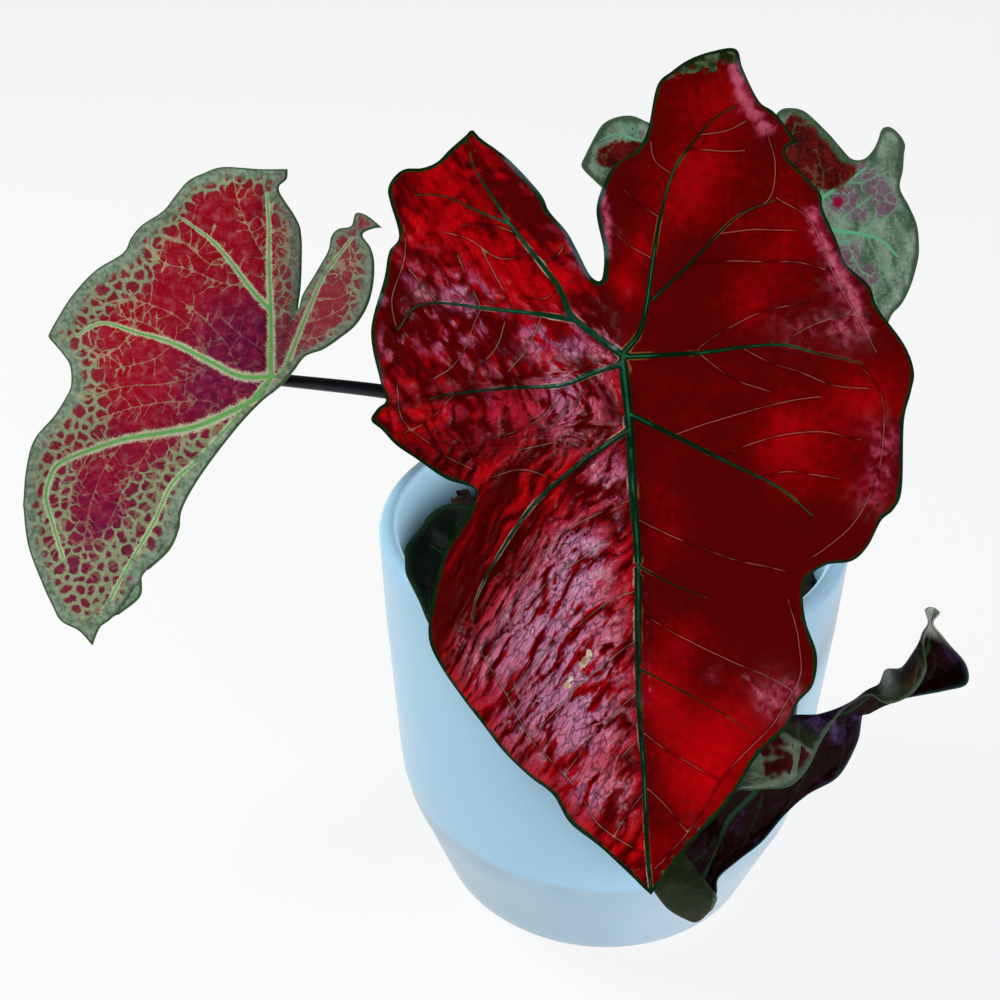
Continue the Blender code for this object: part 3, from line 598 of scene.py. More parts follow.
def twigs(veins, spacing, length, seed):
    """Short wandering veins off both sides of each vein, leaning towards its end."""
    draw = np.random.default_rng(seed)
    found = []
    for vein in veins:
        run = np.gradient(vein, axis=0)
        run /= np.linalg.norm(run, axis=1)[:, None]
        chance = np.linalg.norm(vein[1] - vein[0]) / spacing
        for i in range(2, len(vein) - 1):
            for hand in (-1, 1):
                if draw.random() > chance:
                    continue
                lean = hand * math.radians(draw.uniform(*TWIG_LEAN))
                ahead = (run[i, 0] * math.cos(lean) - run[i, 1] * math.sin(lean),
                         run[i, 0] * math.sin(lean) + run[i, 1] * math.cos(lean))
                count = round(draw.uniform(TWIG_SHORTEST, 1) * length)
                away = np.arange(count + 1)[:, None] * np.array(ahead)
                wander = np.cumsum(draw.normal(0, TWIG_WANDER, away.shape), axis=0)
                found.append(vein[i] + away + wander)
    return found


# A blade in millimetres: its thickness, and the height and width of the groove along a vein,
# the swell beside it, the vein's own ridge and the rib beneath. The tissue puffs up between
# fine veins, and lies calm near the margin and beside the veins.
BLADE_THICKNESS = 0.5
GROOVE = (0.9, 3.0)
SWELL = (1.3, 7.0)
RIDGE = (0.35, 0.8)
RIB = (1.3, 1.1)
RIB_FULL_WIDTH = 2.3
PUFF_WIDTH = 1.3
CALM_MARGIN = 4
CALM_VEIN = 2
# The length and reach of the bends in its side veins
SIDE_WAVE = 9
SIDE_REACH = 0.6
# Its points: how near the margin and each other they may lie, in steps of the mesh
EDGE_CLEAR = 0.8
FIELD_CLEAR = 0.6
FIELD_JITTER = 0.12


def hump(distance, width):
    """1 at no distance, falling off softly within a width."""
    return np.exp(-(distance / width) ** 2)


def blade(leaf, wrinkles, step, cell, net_rise, puff, seed, twig_gap=1, twig_length=0):
    """A fine blade: its mesh follows margin, veins and net, and notes how far each is."""
    units = step * FOCUS / leaf.distance
    margin = sheet(leaf, margin_line(leaf.outline, leaf.corners, units))
    edge_spots = dense([np.vstack((margin, margin[:1]))])
    veins = [sheet(leaf, even_steps(points, units)) for _, _, points in leaf.veins]
    sides = [bent(sheet(leaf, even_steps(points, units)), SIDE_WAVE, SIDE_REACH, seed)
             for points in leaf.sides]
    if twig_length:
        sides += twigs(veins + sides, twig_gap, twig_length, seed + 7)
    net = vein_net(margin, cell, step, seed)
    lines = [*veins, *sides, *net]
    together = np.vstack(lines)
    clear = inside(together, margin) & (nearest(together, edge_spots)[0] > EDGE_CLEAR * step)
    line = np.repeat(np.arange(len(lines)), [len(line) for line in lines])
    joined = clear[1:] & clear[:-1] & (line[1:] == line[:-1])
    number = len(margin) - 1 + np.cumsum(clear)
    edges = np.column_stack((number[:-1], number[1:]))[joined].tolist()
    drawn = np.vstack((margin, together[clear]))
    field = hexagons(margin, step, FIELD_JITTER, seed + 5)
    field = field[inside(field, margin)]
    field = field[nearest(field, drawn)[0] > FIELD_CLEAR * step]
    corners, triangles = triangulated(np.vstack((drawn, field)), edges,
                                      [list(range(len(margin)))], 1, 0.02)
    u, v = corners.T

    spots = dense(veins)
    spot_widths = np.concatenate([np.linspace(first, last, len(dense([vein])))
                                  for (first, last, _), vein in zip(leaf.veins, veins)])
    far, which = nearest(corners, spots)
    marks = {"vein": far / (spot_widths[which] / 2), "from_vein": far,
             "side": nearest(corners, dense(sides))[0],
             "net": nearest(corners, dense(net, 0.15))[0],
             "edge": nearest(corners, edge_spots)[0]}

    groove = GROOVE[0] * hump(far, GROOVE[1]) - SWELL[0] * (1 - hump(far, SWELL[1]))
    lines = np.minimum(marks["side"], marks["net"] + net_rise)
    settle = smooth(marks["edge"] / CALM_MARGIN) * smooth(far / CALM_VEIN)
    pillow = -puff * (1 - hump(lines, PUFF_WIDTH)) * settle
    ridge = -RIDGE[0] * hump(marks["vein"], RIDGE[1])
    fold, more = wrinkles(u, v)
    depth = leaf.depth(u, v) + groove + pillow + ridge + fold * settle
    top = on_sight_line(leaf, u, v, depth)
    marks.update(more)

    across = top[triangles[:, 1]] - top[triangles[:, 0]]
    along = top[triangles[:, 2]] - top[triangles[:, 0]]
    facing = np.cross(across, along)
    normal = np.zeros_like(top)
    for side in range(3):
        np.add.at(normal, triangles[:, side], facing)
    normal /= np.linalg.norm(normal, axis=1)[:, None]
    rib = RIB[0] * hump(far, RIB[1]) * np.clip(spot_widths[which] / RIB_FULL_WIDTH, 0.2, 1)
    thickness = BLADE_THICKNESS + rib * smooth(marks["edge"] / CALM_VEIN)
    under = top - normal * thickness[:, None]
    return mesh_of(leaf.name, top, under, triangles, marks, corners)


def mesh_of(name, top, under, triangles, marks, flat):
    """Close a blade's top and underside round its margin, and keep the marks on its points."""
    size = len(top)
    sides = {}
    for a, b, c in triangles:
        for pair in ((a, b), (b, c), (c, a)):
            sides[pair] = True
    rim = [pair for pair in sides if (pair[1], pair[0]) not in sides]
    faces = [tuple(triangle) for triangle in triangles]
    faces += [(c + size, b + size, a + size) for a, b, c in triangles]
    faces += [(b, a, a + size, b + size) for a, b in rim]
    mesh = bpy.data.meshes.new(name)
    mesh.from_pydata((np.vstack((top, under)) * MM).tolist(), [],
                     [[int(corner) for corner in face] for face in faces])
    marks = {**marks, "across": flat[:, 0], "along": flat[:, 1]}
    for mark, values in marks.items():
        layer = mesh.attributes.new(mark, "FLOAT", "POINT")
        layer.data.foreach_set("value", np.tile(values, 2).astype(np.float32))
    layer = mesh.attributes.new("under", "FLOAT", "POINT")
    layer.data.foreach_set("value", np.repeat((0.0, 1.0), size).astype(np.float32))
    mesh.update()
    return mesh


FRONT = Leaf("front_leaf", 325, (622, 355), FRONT_OUTLINE, FRONT_CORNERS, FRONT_VEINS,
             FRONT_SIDES, front_depth)
# Where it is glossy and a sheen is painted on its folds, and where it is a brighter red: each
# patch has its place in the picture, its size and its strength
FRONT_CREST_GLOSS_AND_PAINTED_SHEEN = (
    (575, 560, 40, 1.0), (610, 480, 26, 1.0), (530, 620, 45, 0.8), (590, 640, 45, 0.9),
    (480, 660, 30, 0.6), (540, 720, 50, 0.8), (600, 720, 45, 0.6), (595, 345, 30, 1.0),
    (540, 345, 35, 0.7), (450, 330, 50, 0.6), (470, 300, 30, 0.6), (420, 260, 30, 0.45),
    (575, 410, 40, 0.8), (480, 415, 50, 0.35), (612, 235, 14, 0.6), (604, 205, 12, 0.7),
    (885, 440, 22, 1.1), (880, 480, 20, 0.9), (868, 500, 16, 0.6), (838, 275, 16, 1.1),
    (822, 238, 12, 1.1), (852, 300, 18, 1.0), (845, 335, 22, 0.8), (790, 338, 24, 0.6),
    (745, 105, 14, 0.9), (765, 128, 14, 1.1), (755, 90, 10, 0.8), (812, 215, 9, 0.8),
    (775, 700, 24, 1.1), (790, 690, 10, 0.8), (713, 675, 10, 0.6), (620, 800, 26, 0.6),
    (590, 790, 30, 0.6), (560, 215, 24, 0.5), (530, 180, 16, 0.5), (575, 260, 12, 0.5),
    (690, 820, 10, 0.3), (640, 700, 10, 0.5), (395, 350, 16, 0.7), (400, 400, 16, 0.3),
    (675, 500, 12, 0.3), (650, 590, 8, 0.3),
)
FRONT_BRIGHT = (
    (440, 215, 45, 0.9), (500, 270, 40, 0.8), (560, 285, 20, 0.4), (625, 285, 18, 0.7),
    (640, 250, 16, 0.6), (420, 380, 40, 0.4), (560, 350, 50, 0.6), (720, 100, 34, 0.6),
    (700, 170, 45, 0.55), (690, 210, 40, 0.4), (800, 215, 30, 0.3), (760, 300, 40, 0.3),
    (790, 440, 40, 0.5), (760, 470, 30, 0.3), (660, 690, 34, 0.7), (690, 640, 30, 0.5),
    (580, 600, 60, 0.5), (700, 770, 50, 0.7), (740, 720, 40, 0.6), (600, 800, 40, 0.5),
    (870, 400, 30, 0.5), (560, 760, 40, 0.4), (590, 680, 26, 0.6), (500, 480, 40, 0.3),
    (650, 850, 20, 0.4), (480, 700, 30, 0.3),
)
# Where it is a darker red
FRONT_DEEP = (
    (470, 520, 40, 1.0), (450, 590, 34, 0.9), (505, 470, 34, 0.8), (440, 640, 20, 0.6),
    (410, 440, 30, 0.5), (560, 480, 20, 0.3), (390, 290, 20, 0.5), (540, 235, 26, 0.5),
    (590, 300, 24, 0.6), (590, 330, 16, 0.4), (760, 560, 50, 0.6), (690, 600, 40, 0.4),
    (840, 540, 30, 0.5), (700, 260, 40, 0.4), (860, 240, 20, 0.4), (640, 130, 20, 0.5),
    (620, 190, 20, 0.5), (690, 330, 30, 0.4), (730, 520, 40, 0.3), (800, 620, 30, 0.4),
    (720, 850, 20, 0.3), (820, 180, 20, 0.4), (610, 300, 12, 0.4),
)
# Where it is glossy and a sheen is painted evenly, in patches and in streaks of a width and a
# strength along lines
FRONT_EVEN_GLOSS_AND_PAINTED_SHEEN = (
    (600, 352, 14, 0.5), (582, 344, 16, 0.7), (560, 350, 18, 0.6), (534, 352, 16, 0.7),
    (510, 350, 14, 0.5), (446, 300, 14, 0.8), (424, 292, 12, 0.8), (470, 306, 14, 0.7),
    (496, 300, 12, 0.5), (406, 280, 12, 0.7), (384, 300, 10, 0.7), (384, 380, 9, 0.6),
    (604, 600, 16, 0.5), (758, 122, 12, 0.45), (856, 300, 18, 0.65), (838, 328, 18, 0.65),
    (800, 336, 18, 0.45), (629, 292, 6, 0.6), (617, 312, 5, 0.5), (756, 690, 13, 0.4),
    (712, 672, 7, 0.5), (680, 606, 6, 0.4), (672, 796, 8, 0.4),
)
FRONT_STREAK_GLOSS_AND_PAINTED_SHEEN = (
    (12, 0.85, ((734, 66), (742, 92), (752, 112), (766, 126))),
    (12, 0.8, ((812, 212), (820, 238), (834, 262), (846, 284), (856, 306), (864, 330))),
    (18, 0.5, ((800, 332), (828, 322), (852, 320))),
    (8, 0.75, ((602, 192), (606, 214), (608, 236), (606, 254))),
    (7, 0.8, ((508, 160), (522, 173), (541, 190), (554, 208), (564, 227), (578, 254),
              (588, 275))),
    (11, 0.6, ((885, 430), (886, 450), (882, 474), (872, 492))),
    (6, 0.6, ((382, 326), (380, 350), (383, 372))),
    (4, 0.7, ((745, 675), (757, 690), (770, 708))),
    (3, 0.6, ((646, 590), (648, 640), (650, 690))),
    (7, 0.6, ((617, 420), (615, 470), (620, 530))),
)
# Where its margin and tips are mottled green, and its pale scars
FRONT_MOSS = (
    (696, 58, 12, 0.9), (712, 54, 10, 1.0), (728, 52, 9, 1.0), (682, 66, 9, 0.9),
    (670, 76, 6, 0.8), (706, 66, 7, 0.6), (734, 60, 5, 0.7), (469, 140, 5, 0.8),
    (475, 150, 3, 0.8), (478, 160, 3, 0.6), (715, 72, 5, 0.6), (803, 156, 8, 0.7),
    (798, 145, 5, 0.9), (388, 262, 4, 0.6), (646, 880, 7, 0.4), (690, 846, 9, 0.6),
    (662, 872, 6, 0.6), (676, 858, 5, 0.6), (704, 830, 6, 0.6), (716, 816, 6, 0.6),
    (730, 798, 5, 0.4), (566, 806, 4, 0.5), (590, 832, 4, 0.5), (612, 852, 5, 0.5),
    (632, 872, 6, 0.6), (880, 400, 5, 0.3),
)
FRONT_SCARS = (
    (589, 652, 4.0, 1.6), (586, 659, 3.6, 1.5), (583, 665, 2.8, 1.3), (567, 685, 3.0, 1.4),
    (570, 679, 2.6, 1.2), (716, 838, 2.8, 1.2),
)
FRONT_WRINKLE = 1.8
# Its folds in layers, each with a width, a length, a height and a seed: along the side veins
# below, hanging combs in the middle and calm swells on the right half
FRONT_FOLDS = ((2.6, 9, 1.0, 4), (1.25, 4.5, 0.5, 5))
FRONT_COMBS = ((2.4, 7, 1.0, 6), (1.2, 3, 0.5, 7))
FRONT_CALM = ((6, 6, 1.0, 8),)
# How the midrib runs down the blade, as (height, sideways), and how soft its left side begins
FRONT_MIDRIB = ((-134, 7), (-90, 4), (-35, 2.8), (0, 0), (18, -4.8), (38, -7.5))
FRONT_SEAM = ((0, 8), (0.8, 5))


def patches(leaf, spots, u, v):
    """How much a point lies in soft round patches: 0 outside, about 1 or more within."""
    total = np.zeros(len(u))
    for x, y, size, strength in spots:
        place = sheet(leaf, (x, y))
        total += strength * hump(np.hypot(u - place[0], v - place[1]),
                                 size * leaf.distance / FOCUS)
    return total


def streaks_along(leaf, lines, u, v):
    """How much a point lies in soft streaks that follow lines, 0 to 1."""
    total = np.zeros(len(u))
    for size, strength, points in lines:
        for place in even_steps(points, 3):
            total = np.maximum(total, patches(leaf, [(*place, size, strength)], u, v))
    return total


def creases(layers, x, y, warp, power=0.7):
    """Random folds with sharp valleys, bent by a warp."""
    return sum(height * np.abs(cloud(x / width + warp, y / length, seed)) ** power
               for width, length, height, seed in layers)


def front_wrinkles(u, v):
    """Leathery folds along the side veins, deepest on the lower left half."""
    middle = np.interp(v, *np.array(FRONT_MIDRIB).T)
    left = smooth((middle - u) / np.interp(v, *FRONT_SEAM) + 0.5)
    lower = smooth((-12 - v) / 14 + 0.25 * (u + 20) / 20)
    upper = smooth((v + 3.5 - 0.19 * u) / 3)
    reach = middle - u
    warp = 1.1 * cloud(u / 6, v / 6, 3)
    flow = (v + 0.7 * reach + 0.012 * reach ** 2) * 0.78
    hang = u * 0.95 + 0.35 * v
    slant = u + 0.8 * v
    lengthwise = v - 0.8 * u
    swell = 0.7 * np.abs(cloud(slant / 5, lengthwise / 10 + warp, 9)) ** 0.8
    swell += 0.4 * np.abs(cloud(slant / 2.2 + warp, lengthwise / 5, 10)) ** 0.8

    def zones(below, above, between):
        """One thing along the lower side veins, one above the joint and one between."""
        return lower * below + (1 - lower) * (upper * above + (1 - upper) * between)

    folds = zones(creases(FRONT_FOLDS, flow, reach, warp), swell,
                  creases(FRONT_COMBS, hang, v, warp))
    height = left * folds + (1 - left) * 0.45 * creases(FRONT_CALM, u, v, warp, 0.8)
    strength = left * (0.65 + 0.35 * lower) + (1 - left) * 0.5
    marks = {"fold": height, "left": left, "flow": zones(flow, 0.6 * slant, hang),
             "run": zones(reach, 0.6 * lengthwise, v),
             "even_gloss_and_painted_sheen": np.maximum(patches(FRONT, FRONT_EVEN_GLOSS_AND_PAINTED_SHEEN, u, v),
                                 streaks_along(FRONT, FRONT_STREAK_GLOSS_AND_PAINTED_SHEEN, u, v))}
    for mark, spots in (("deep", FRONT_DEEP), ("crest_gloss_and_painted_sheen", FRONT_CREST_GLOSS_AND_PAINTED_SHEEN), ("moss", FRONT_MOSS),
                        ("scar", FRONT_SCARS), ("bright", FRONT_BRIGHT)):
        marks[mark] = patches(FRONT, spots, u, v)
    return -FRONT_WRINKLE * strength * height, marks


front = new_piece("front_leaf_fine", blade(FRONT, front_wrinkles, step=0.75, cell=9.0,
                                           net_rise=0.9, puff=0.4, seed=11),
                  "front_leaf")


def front_sheen(wire):
    """Where the waxy skin catches the light, on the crests of its folds and in patches: it sets
    the coat, and is painted into the colour as sheen.
    """
    fold, left = wire.marks("fold left")
    fine = wire.flat_grain(wire["flow"] * 0.5, wire["run"] * 0.26, 4, 0.9)
    calm = wire.flat_grain(wire["across"] * 0.4, wire["along"] * 0.4, 5, 0.6)
    crest = left * (fold * 0.6 + fine).rise(0.68, 0.98)
    crest = crest + (1 - left) * calm.rise(0.1, 0.8) * 0.7
    streaks = left * fine + (1 - left) * calm - 0.5
    # Sheen on the crests of the folds, within its patches: coat gloss, and a painted highlight.
    crest_gloss_and_painted_sheen = (wire["crest_gloss_and_painted_sheen"] * 1.15).lowest(1.0) * crest
    even_gloss_and_painted_sheen = (wire["even_gloss_and_painted_sheen"] + streaks * (1.15 + left * 0.25)).rise(0.1, 1.1)
    return crest_gloss_and_painted_sheen.highest(even_gloss_and_painted_sheen * 0.85)


def front_colour(wire):
    """Red of two depths with painted shade on its folds, then painted sheen and cracks, side veins
    with painted shade, veins with a painted highlight, moss, scars and margin.
    """
    vein, side, edge, left, flow, run = wire.marks("vein side edge left flow run")
    sheen = front_sheen(wire)
    broad = wire.grain(45, 3)
    fine = wire.flat_grain(flow * 0.8, run * 0.35, 4)
    speck = wire.flat_grain(wire["across"] * 0.5, wire["along"] * 0.5, 3)
    fine = left * fine + (1 - left) * speck
    # Red in lighter and darker patches; on the left half, painted shade: light crests, dark
    # troughs.
    lit = wire["bright"] * 0.75 - wire["deep"] * 0.5
    lit = lit + (broad - 0.5) * 1.0 + (fine - 0.5) * (0.5 + left * 0.4)
    lit = lit + left * (wire["fold"] - 0.4) * 1.3
    red = lit.rise(-0.1, 1.1).fade((86, 0, 1), (200, 2, 14))
    # Painted sheen: mauve and pink highlights mixed over the red where the sheen lies.
    painted_sheen_colour = (sheen + fine * 0.5).rise(0.5, 1.3).fade((150, 28, 90), (206, 138, 180))
    pink = (sheen + fine * 0.5).rise(0.4, 1.2).fade((160, 12, 60), (214, 98, 128))
    painted_sheen_colour = (left * broad.rise(0.4, 0.62)).fade(pink, painted_sheen_colour)
    red = (sheen.rise(0.1, 0.9) * 0.8).fade(red, painted_sheen_colour)
    # Painted shade: dark red cracks between the plates of sheen on the left half.
    wall = wire.cracks(flow * 0.6 + fine * 1.5, run * 0.42 + fine)
    web = wall.rise(0.11, 0.01) * left * (0.3 + sheen * 0.6)
    red = (web * 0.9).fade(red, (64, 0, 14))
    broken = wire.grain(130, 2)
    # Painted shade: a dark band along each side vein.
    red = ((side - 0.2).rise(0.5, 0.05) * 0.5).fade(red, (48, 0, 6))
    line = side.rise(0.15, 0.05) * broken.rise(0.4, 0.56)
    red = (line * 0.5).fade(red, left.fade((216, 116, 96), (190, 150, 120)))
    jag = wire.grain(520, 2) - 0.5
    halo = (vein - jag * 1.2).rise(1.7, 1.25) * wire.grain(90, 2).rise(0.5, 0.62)
    red = (halo * 0.7).fade(red, left.fade((150, 104, 52), (222, 196, 168)))
    blotch = wire.grain(110)
    green = left.fade(blotch.fade((2, 14, 6), (10, 46, 22)),
                      blotch.fade((2, 30, 18), (12, 74, 48)))
    # Painted highlight: paler teal green down the middle of each vein.
    middle = vein.rise(0.5, 0.0) * wire.grain(60).rise(0.45, 0.6)
    green = (middle * 0.7).fade(green, (46, 128, 92))
    red = (vein - jag * 0.5).rise(1.25, 0.9).fade(red, green)
    damp = wire["moss"]
    moss = damp + ((speck - 0.5) * 1.8 + jag * 1.2) * damp.rise(0.02, 0.3)
    mossy = wire.grain(300, 3).rise(0.42, 0.64).fade((8, 38, 14), (78, 106, 72))
    red = (moss.rise(0.4, 0.75) * 0.9).fade(red, mossy)
    worn = wire["scar"]
    scar = worn + (wire.grain(420, 2) - 0.5) * 2.2 * worn.rise(0.02, 0.3)
    crust = wire.grain(900, 2).rise(0.4, 0.6).fade((190, 160, 116), (238, 226, 190))
    red = scar.rise(0.5, 0.75).fade(red, crust)
    rim = edge - (wire.grain(70, 2) - 0.5) * 2.0 - jag * 1.0
    green = wire.grain(200).fade((4, 18, 8), (20, 58, 26))
    # Painted sheen: the green margin turns teal grey where the sheen lies.
    green = (wire["even_gloss_and_painted_sheen"].rise(0.3, 1.1) * 0.7).fade(green, (92, 128, 134))
    red = rim.rise(1.2, 0.65).fade(red, green)
    beneath = wire.grain(80).fade((84, 40, 48), (110, 62, 62))
    beneath = vein.rise(1.4, 0.8).fade(beneath, (96, 120, 84))
    return wire["under"].fade(red, beneath)


def front_bump(wire):
    flow, run, left = wire.marks("flow run left")
    height = wire.flat_grain(flow * 0.9, run * 0.35, 5, 0.8) * (0.15 + left * 0.85)
    height = height + wire.grain(1500, 4, 0.6) * 0.1
    height = height + wire.cracks(flow * 0.45, run * 0.3).rise(0.0, 0.12) * left * 0.14
    return wire.node("Bump", {}, {"Strength": 0.9, "Distance": 0.0013, "Height": height})


coat(front, "waxy_red_leaf", front_colour, lambda wire: 0.5 - front_sheen(wire) * 0.15,
     **{"Normal": front_bump, "Specular IOR Level": 0.0, "Coat Roughness": 0.3,
        "Coat Weight": lambda wire: front_sheen(wire) * (0.35 + wire["left"] * 0.5)})


# Left leaf: a crimson blade with pale green veins and a wide, mottled green margin. It has
# folded up along its midrib, so that its right half stands towards the viewer.
LEFT_OUTLINE = (
    (287, 169), (259, 169), (223, 167), (204, 173), (188, 181), (175, 196), (163, 211), (142, 225),
    (131, 238), (123, 253), (96, 270), (74, 293), (60, 314), (49, 334), (50, 339), (62, 353),
    (70, 366), (71, 385), (66, 397), (54, 416), (34, 440), (26, 470), (23, 505), (28, 545),
    (42, 583), (52, 605), (61, 621), (79, 631), (92, 645), (100, 627), (119, 613), (139, 596),
    (143, 575), (168, 550), (178, 528), (181, 510), (192, 488), (210, 461), (235, 429), (257, 405),
    (281, 384), (293, 370), (304, 356), (322, 349), (338, 338), (354, 325), (366, 306), (372, 284),
    (373, 261), (369, 246), (361, 234), (372, 228), (381, 227), (369, 217), (361, 213), (355, 214),
    (351, 226), (338, 229), (331, 237), (328, 251), (315, 274), (303, 294), (299, 308), (297, 309),
    (301, 284), (301, 236), (295, 217), (278, 190), (286, 179),
)
LEFT_CORNERS = ((92, 645), (381, 227), (287, 169), (23, 505), (297, 309))
LEFT_VEINS = (
    (1.8, 0.7, ((271, 377), (271, 322), (269, 265), (269, 226), (267, 194))),
    (1.5, 0.6, ((271, 311), (250, 288), (230, 261), (211, 240), (183, 219))),
    (1.9, 0.6, ((271, 377), (240, 376), (211, 362), (173, 343), (135, 332), (102, 323),
                (77, 336))),
    (2.2, 0.9, ((271, 377), (257, 397), (228, 413), (194, 427), (162, 433), (125, 439),
                (93, 449), (60, 463), (50, 478), (46, 498), (54, 528), (63, 558))),
    (1.2, 0.8, ((271, 377), (235, 419), (198, 459), (172, 484), (154, 522), (131, 561),
                (105, 609), (93, 640))),
    (1.4, 0.7, ((271, 377), (283, 371), (304, 321), (322, 279), (335, 260), (352, 238))),
)
LEFT_SIDES = (
    ((269, 265), (255, 240), (240, 205), (235, 180)),
    ((250, 288), (225, 285), (200, 275), (165, 262), (145, 245)),
    ((230, 261), (205, 262), (180, 240), (160, 235)),
    ((269, 300), (285, 270), (290, 240), (288, 215)),
    ((270, 330), (288, 300), (296, 285)),
    ((211, 362), (195, 335), (170, 312), (130, 300), (100, 305)),
    ((240, 374), (225, 345), (205, 320), (180, 300)),
    ((173, 343), (150, 325), (120, 315)),
    ((262, 350), (240, 335), (222, 318)),
    ((211, 362), (185, 378), (150, 385), (110, 390), (85, 400)),
    ((135, 332), (115, 350), (90, 360)),
    ((173, 343), (150, 360), (115, 370)),
    ((228, 413), (205, 400), (175, 402), (130, 410), (95, 420)),
    ((194, 427), (175, 445), (160, 480), (140, 520)),
    ((162, 433), (140, 460), (120, 500), (100, 545)),
    ((125, 439), (105, 470), (90, 510), (78, 560)),
    ((93, 449), (78, 475), (68, 510), (62, 540)),
    ((228, 413), (215, 432), (203, 450)),
    ((198, 459), (175, 462), (150, 480)),
    ((154, 522), (130, 525), (105, 545), (85, 575)),
    ((131, 561), (110, 565), (92, 590)),
    ((172, 484), (150, 500), (125, 530)),
    ((322, 279), (340, 262), (352, 258)),
    ((304, 321), (325, 318), (345, 310)),
    ((313, 300), (338, 300), (358, 290)),
    ((296, 340), (315, 338), (332, 330)),
    ((337, 279), (350, 265), (360, 262)),
)
# Its relief: the directions across the midrib and across the lobe, the slopes of the folded
# half, the lobe and the open half, where the lobe begins, and the waves of the open half
LEFT_ACROSS = (0.82, -0.574)
LEFT_LOBE_ACROSS = (0.877, -0.486)
LEFT_FOLD = 2.3
LEFT_LOBE_FOLD = 1.25
LEFT_LOBE_RISE = 7.0
LEFT_LOBE_NECK = 20.0
LEFT_LOBE_LEAN = 0.05
LEFT_LOBE_ANGLE = 12.0
LEFT_LOBE_BLEND = 6.0
LEFT_OPEN = 0.2
LEFT_LEAN = 0.12
LEFT_REACH = 75.0
LEFT_WAVES = (2.2, 7, 0.5)


def left_depth(u, v):
    """Open left half, right half and right lobe folded up steeply along the midrib."""
    across = u * LEFT_ACROSS[0] + v * LEFT_ACROSS[1]
    along = np.hypot(u, v)
    open_half = LEFT_OPEN * np.abs(across) + frill(u, v, LEFT_REACH, *LEFT_WAVES)
    base = np.where(across > 0, -LEFT_FOLD * across, open_half) - LEFT_LEAN * v
    lobe_across = u * LEFT_LOBE_ACROSS[0] + v * LEFT_LOBE_ACROSS[1]
    rise = LEFT_LOBE_RISE * np.minimum(1, along / LEFT_LOBE_NECK)
    lobe = -LEFT_LOBE_FOLD * (lobe_across + rise) - LEFT_LOBE_LEAN * v
    bearing = np.degrees(np.arctan2(u, np.maximum(v, TINY)))
    in_lobe = smooth((bearing - LEFT_LOBE_ANGLE) / LEFT_LOBE_BLEND) * (v > 0)
    return base * (1 - in_lobe) + lobe * in_lobe


LEFT = Leaf("left_leaf", 400, (279, 379), LEFT_OUTLINE, LEFT_CORNERS, LEFT_VEINS, LEFT_SIDES,
            left_depth)


# Where it stays crimson towards its margin, where it is greener inside, and where its crimson
# turns to purple
LEFT_CRIMSON = (
    (240, 205, 28, 0.7), (215, 210, 24, 0.4), (250, 250, 40, 0.5), (195, 230, 26, 0.7),
    (235, 340, 50, 0.8), (230, 420, 30, 0.6), (120, 365, 18, 0.6), (255, 400, 20, 0.6),
    (330, 300, 24, 1.0), (345, 260, 14, 0.8), (360, 225, 14, 1.2), (300, 340, 20, 1.0),
    (315, 320, 18, 0.8), (340, 240, 10, 0.6), (285, 230, 12, 0.4), (180, 260, 30, 0.4),
    (215, 370, 40, 0.6), (270, 370, 14, 0.6), (288, 300, 8, 0.6), (200, 250, 24, 0.4),
)
LEFT_GREEN = (
    (60, 520, 30, 0.5), (100, 560, 34, 0.7), (130, 540, 40, 0.6), (70, 330, 20, 0.3),
    (45, 450, 16, 0.5), (150, 240, 16, 0.3), (100, 290, 26, 0.6), (200, 180, 12, 0.4),
    (90, 610, 26, 0.6), (160, 490, 34, 0.5), (100, 440, 30, 0.7), (352, 290, 12, 0.3),
    (120, 240, 30, 0.8), (160, 205, 22, 0.8), (70, 310, 20, 0.8), (215, 180, 12, 0.6),
    (140, 280, 24, 0.5), (80, 400, 26, 0.5), (150, 400, 16, 0.3), (190, 450, 24, 0.4),
    (120, 480, 30, 0.7), (70, 480, 20, 0.5),
)
LEFT_PURPLE = (
    (250, 345, 60, 1.0), (215, 390, 50, 0.7), (150, 540, 60, 0.9), (180, 470, 50, 0.6),
    (80, 560, 60, 0.9), (60, 480, 30, 0.6), (110, 440, 30, 0.5),
)


def left_wrinkles(u, v):
    """Soft puffs between the fine veins."""
    marks = {"crimson": patches(LEFT, LEFT_CRIMSON, u, v),
             "green": patches(LEFT, LEFT_GREEN, u, v),
             "purple": patches(LEFT, LEFT_PURPLE, u, v), "folded": smooth((u + 1.6) / 0.8)}
    return 0.35 * cloud(u / 5, v / 5, 21) + 0.15 * cloud(u / 2, v / 2, 22), marks


left = new_piece("left_leaf_fine", blade(LEFT, left_wrinkles, step=0.8, cell=4.0, net_rise=1.4,
                                         puff=0.3, seed=23, twig_gap=4.5, twig_length=6),
                 "left_leaf")


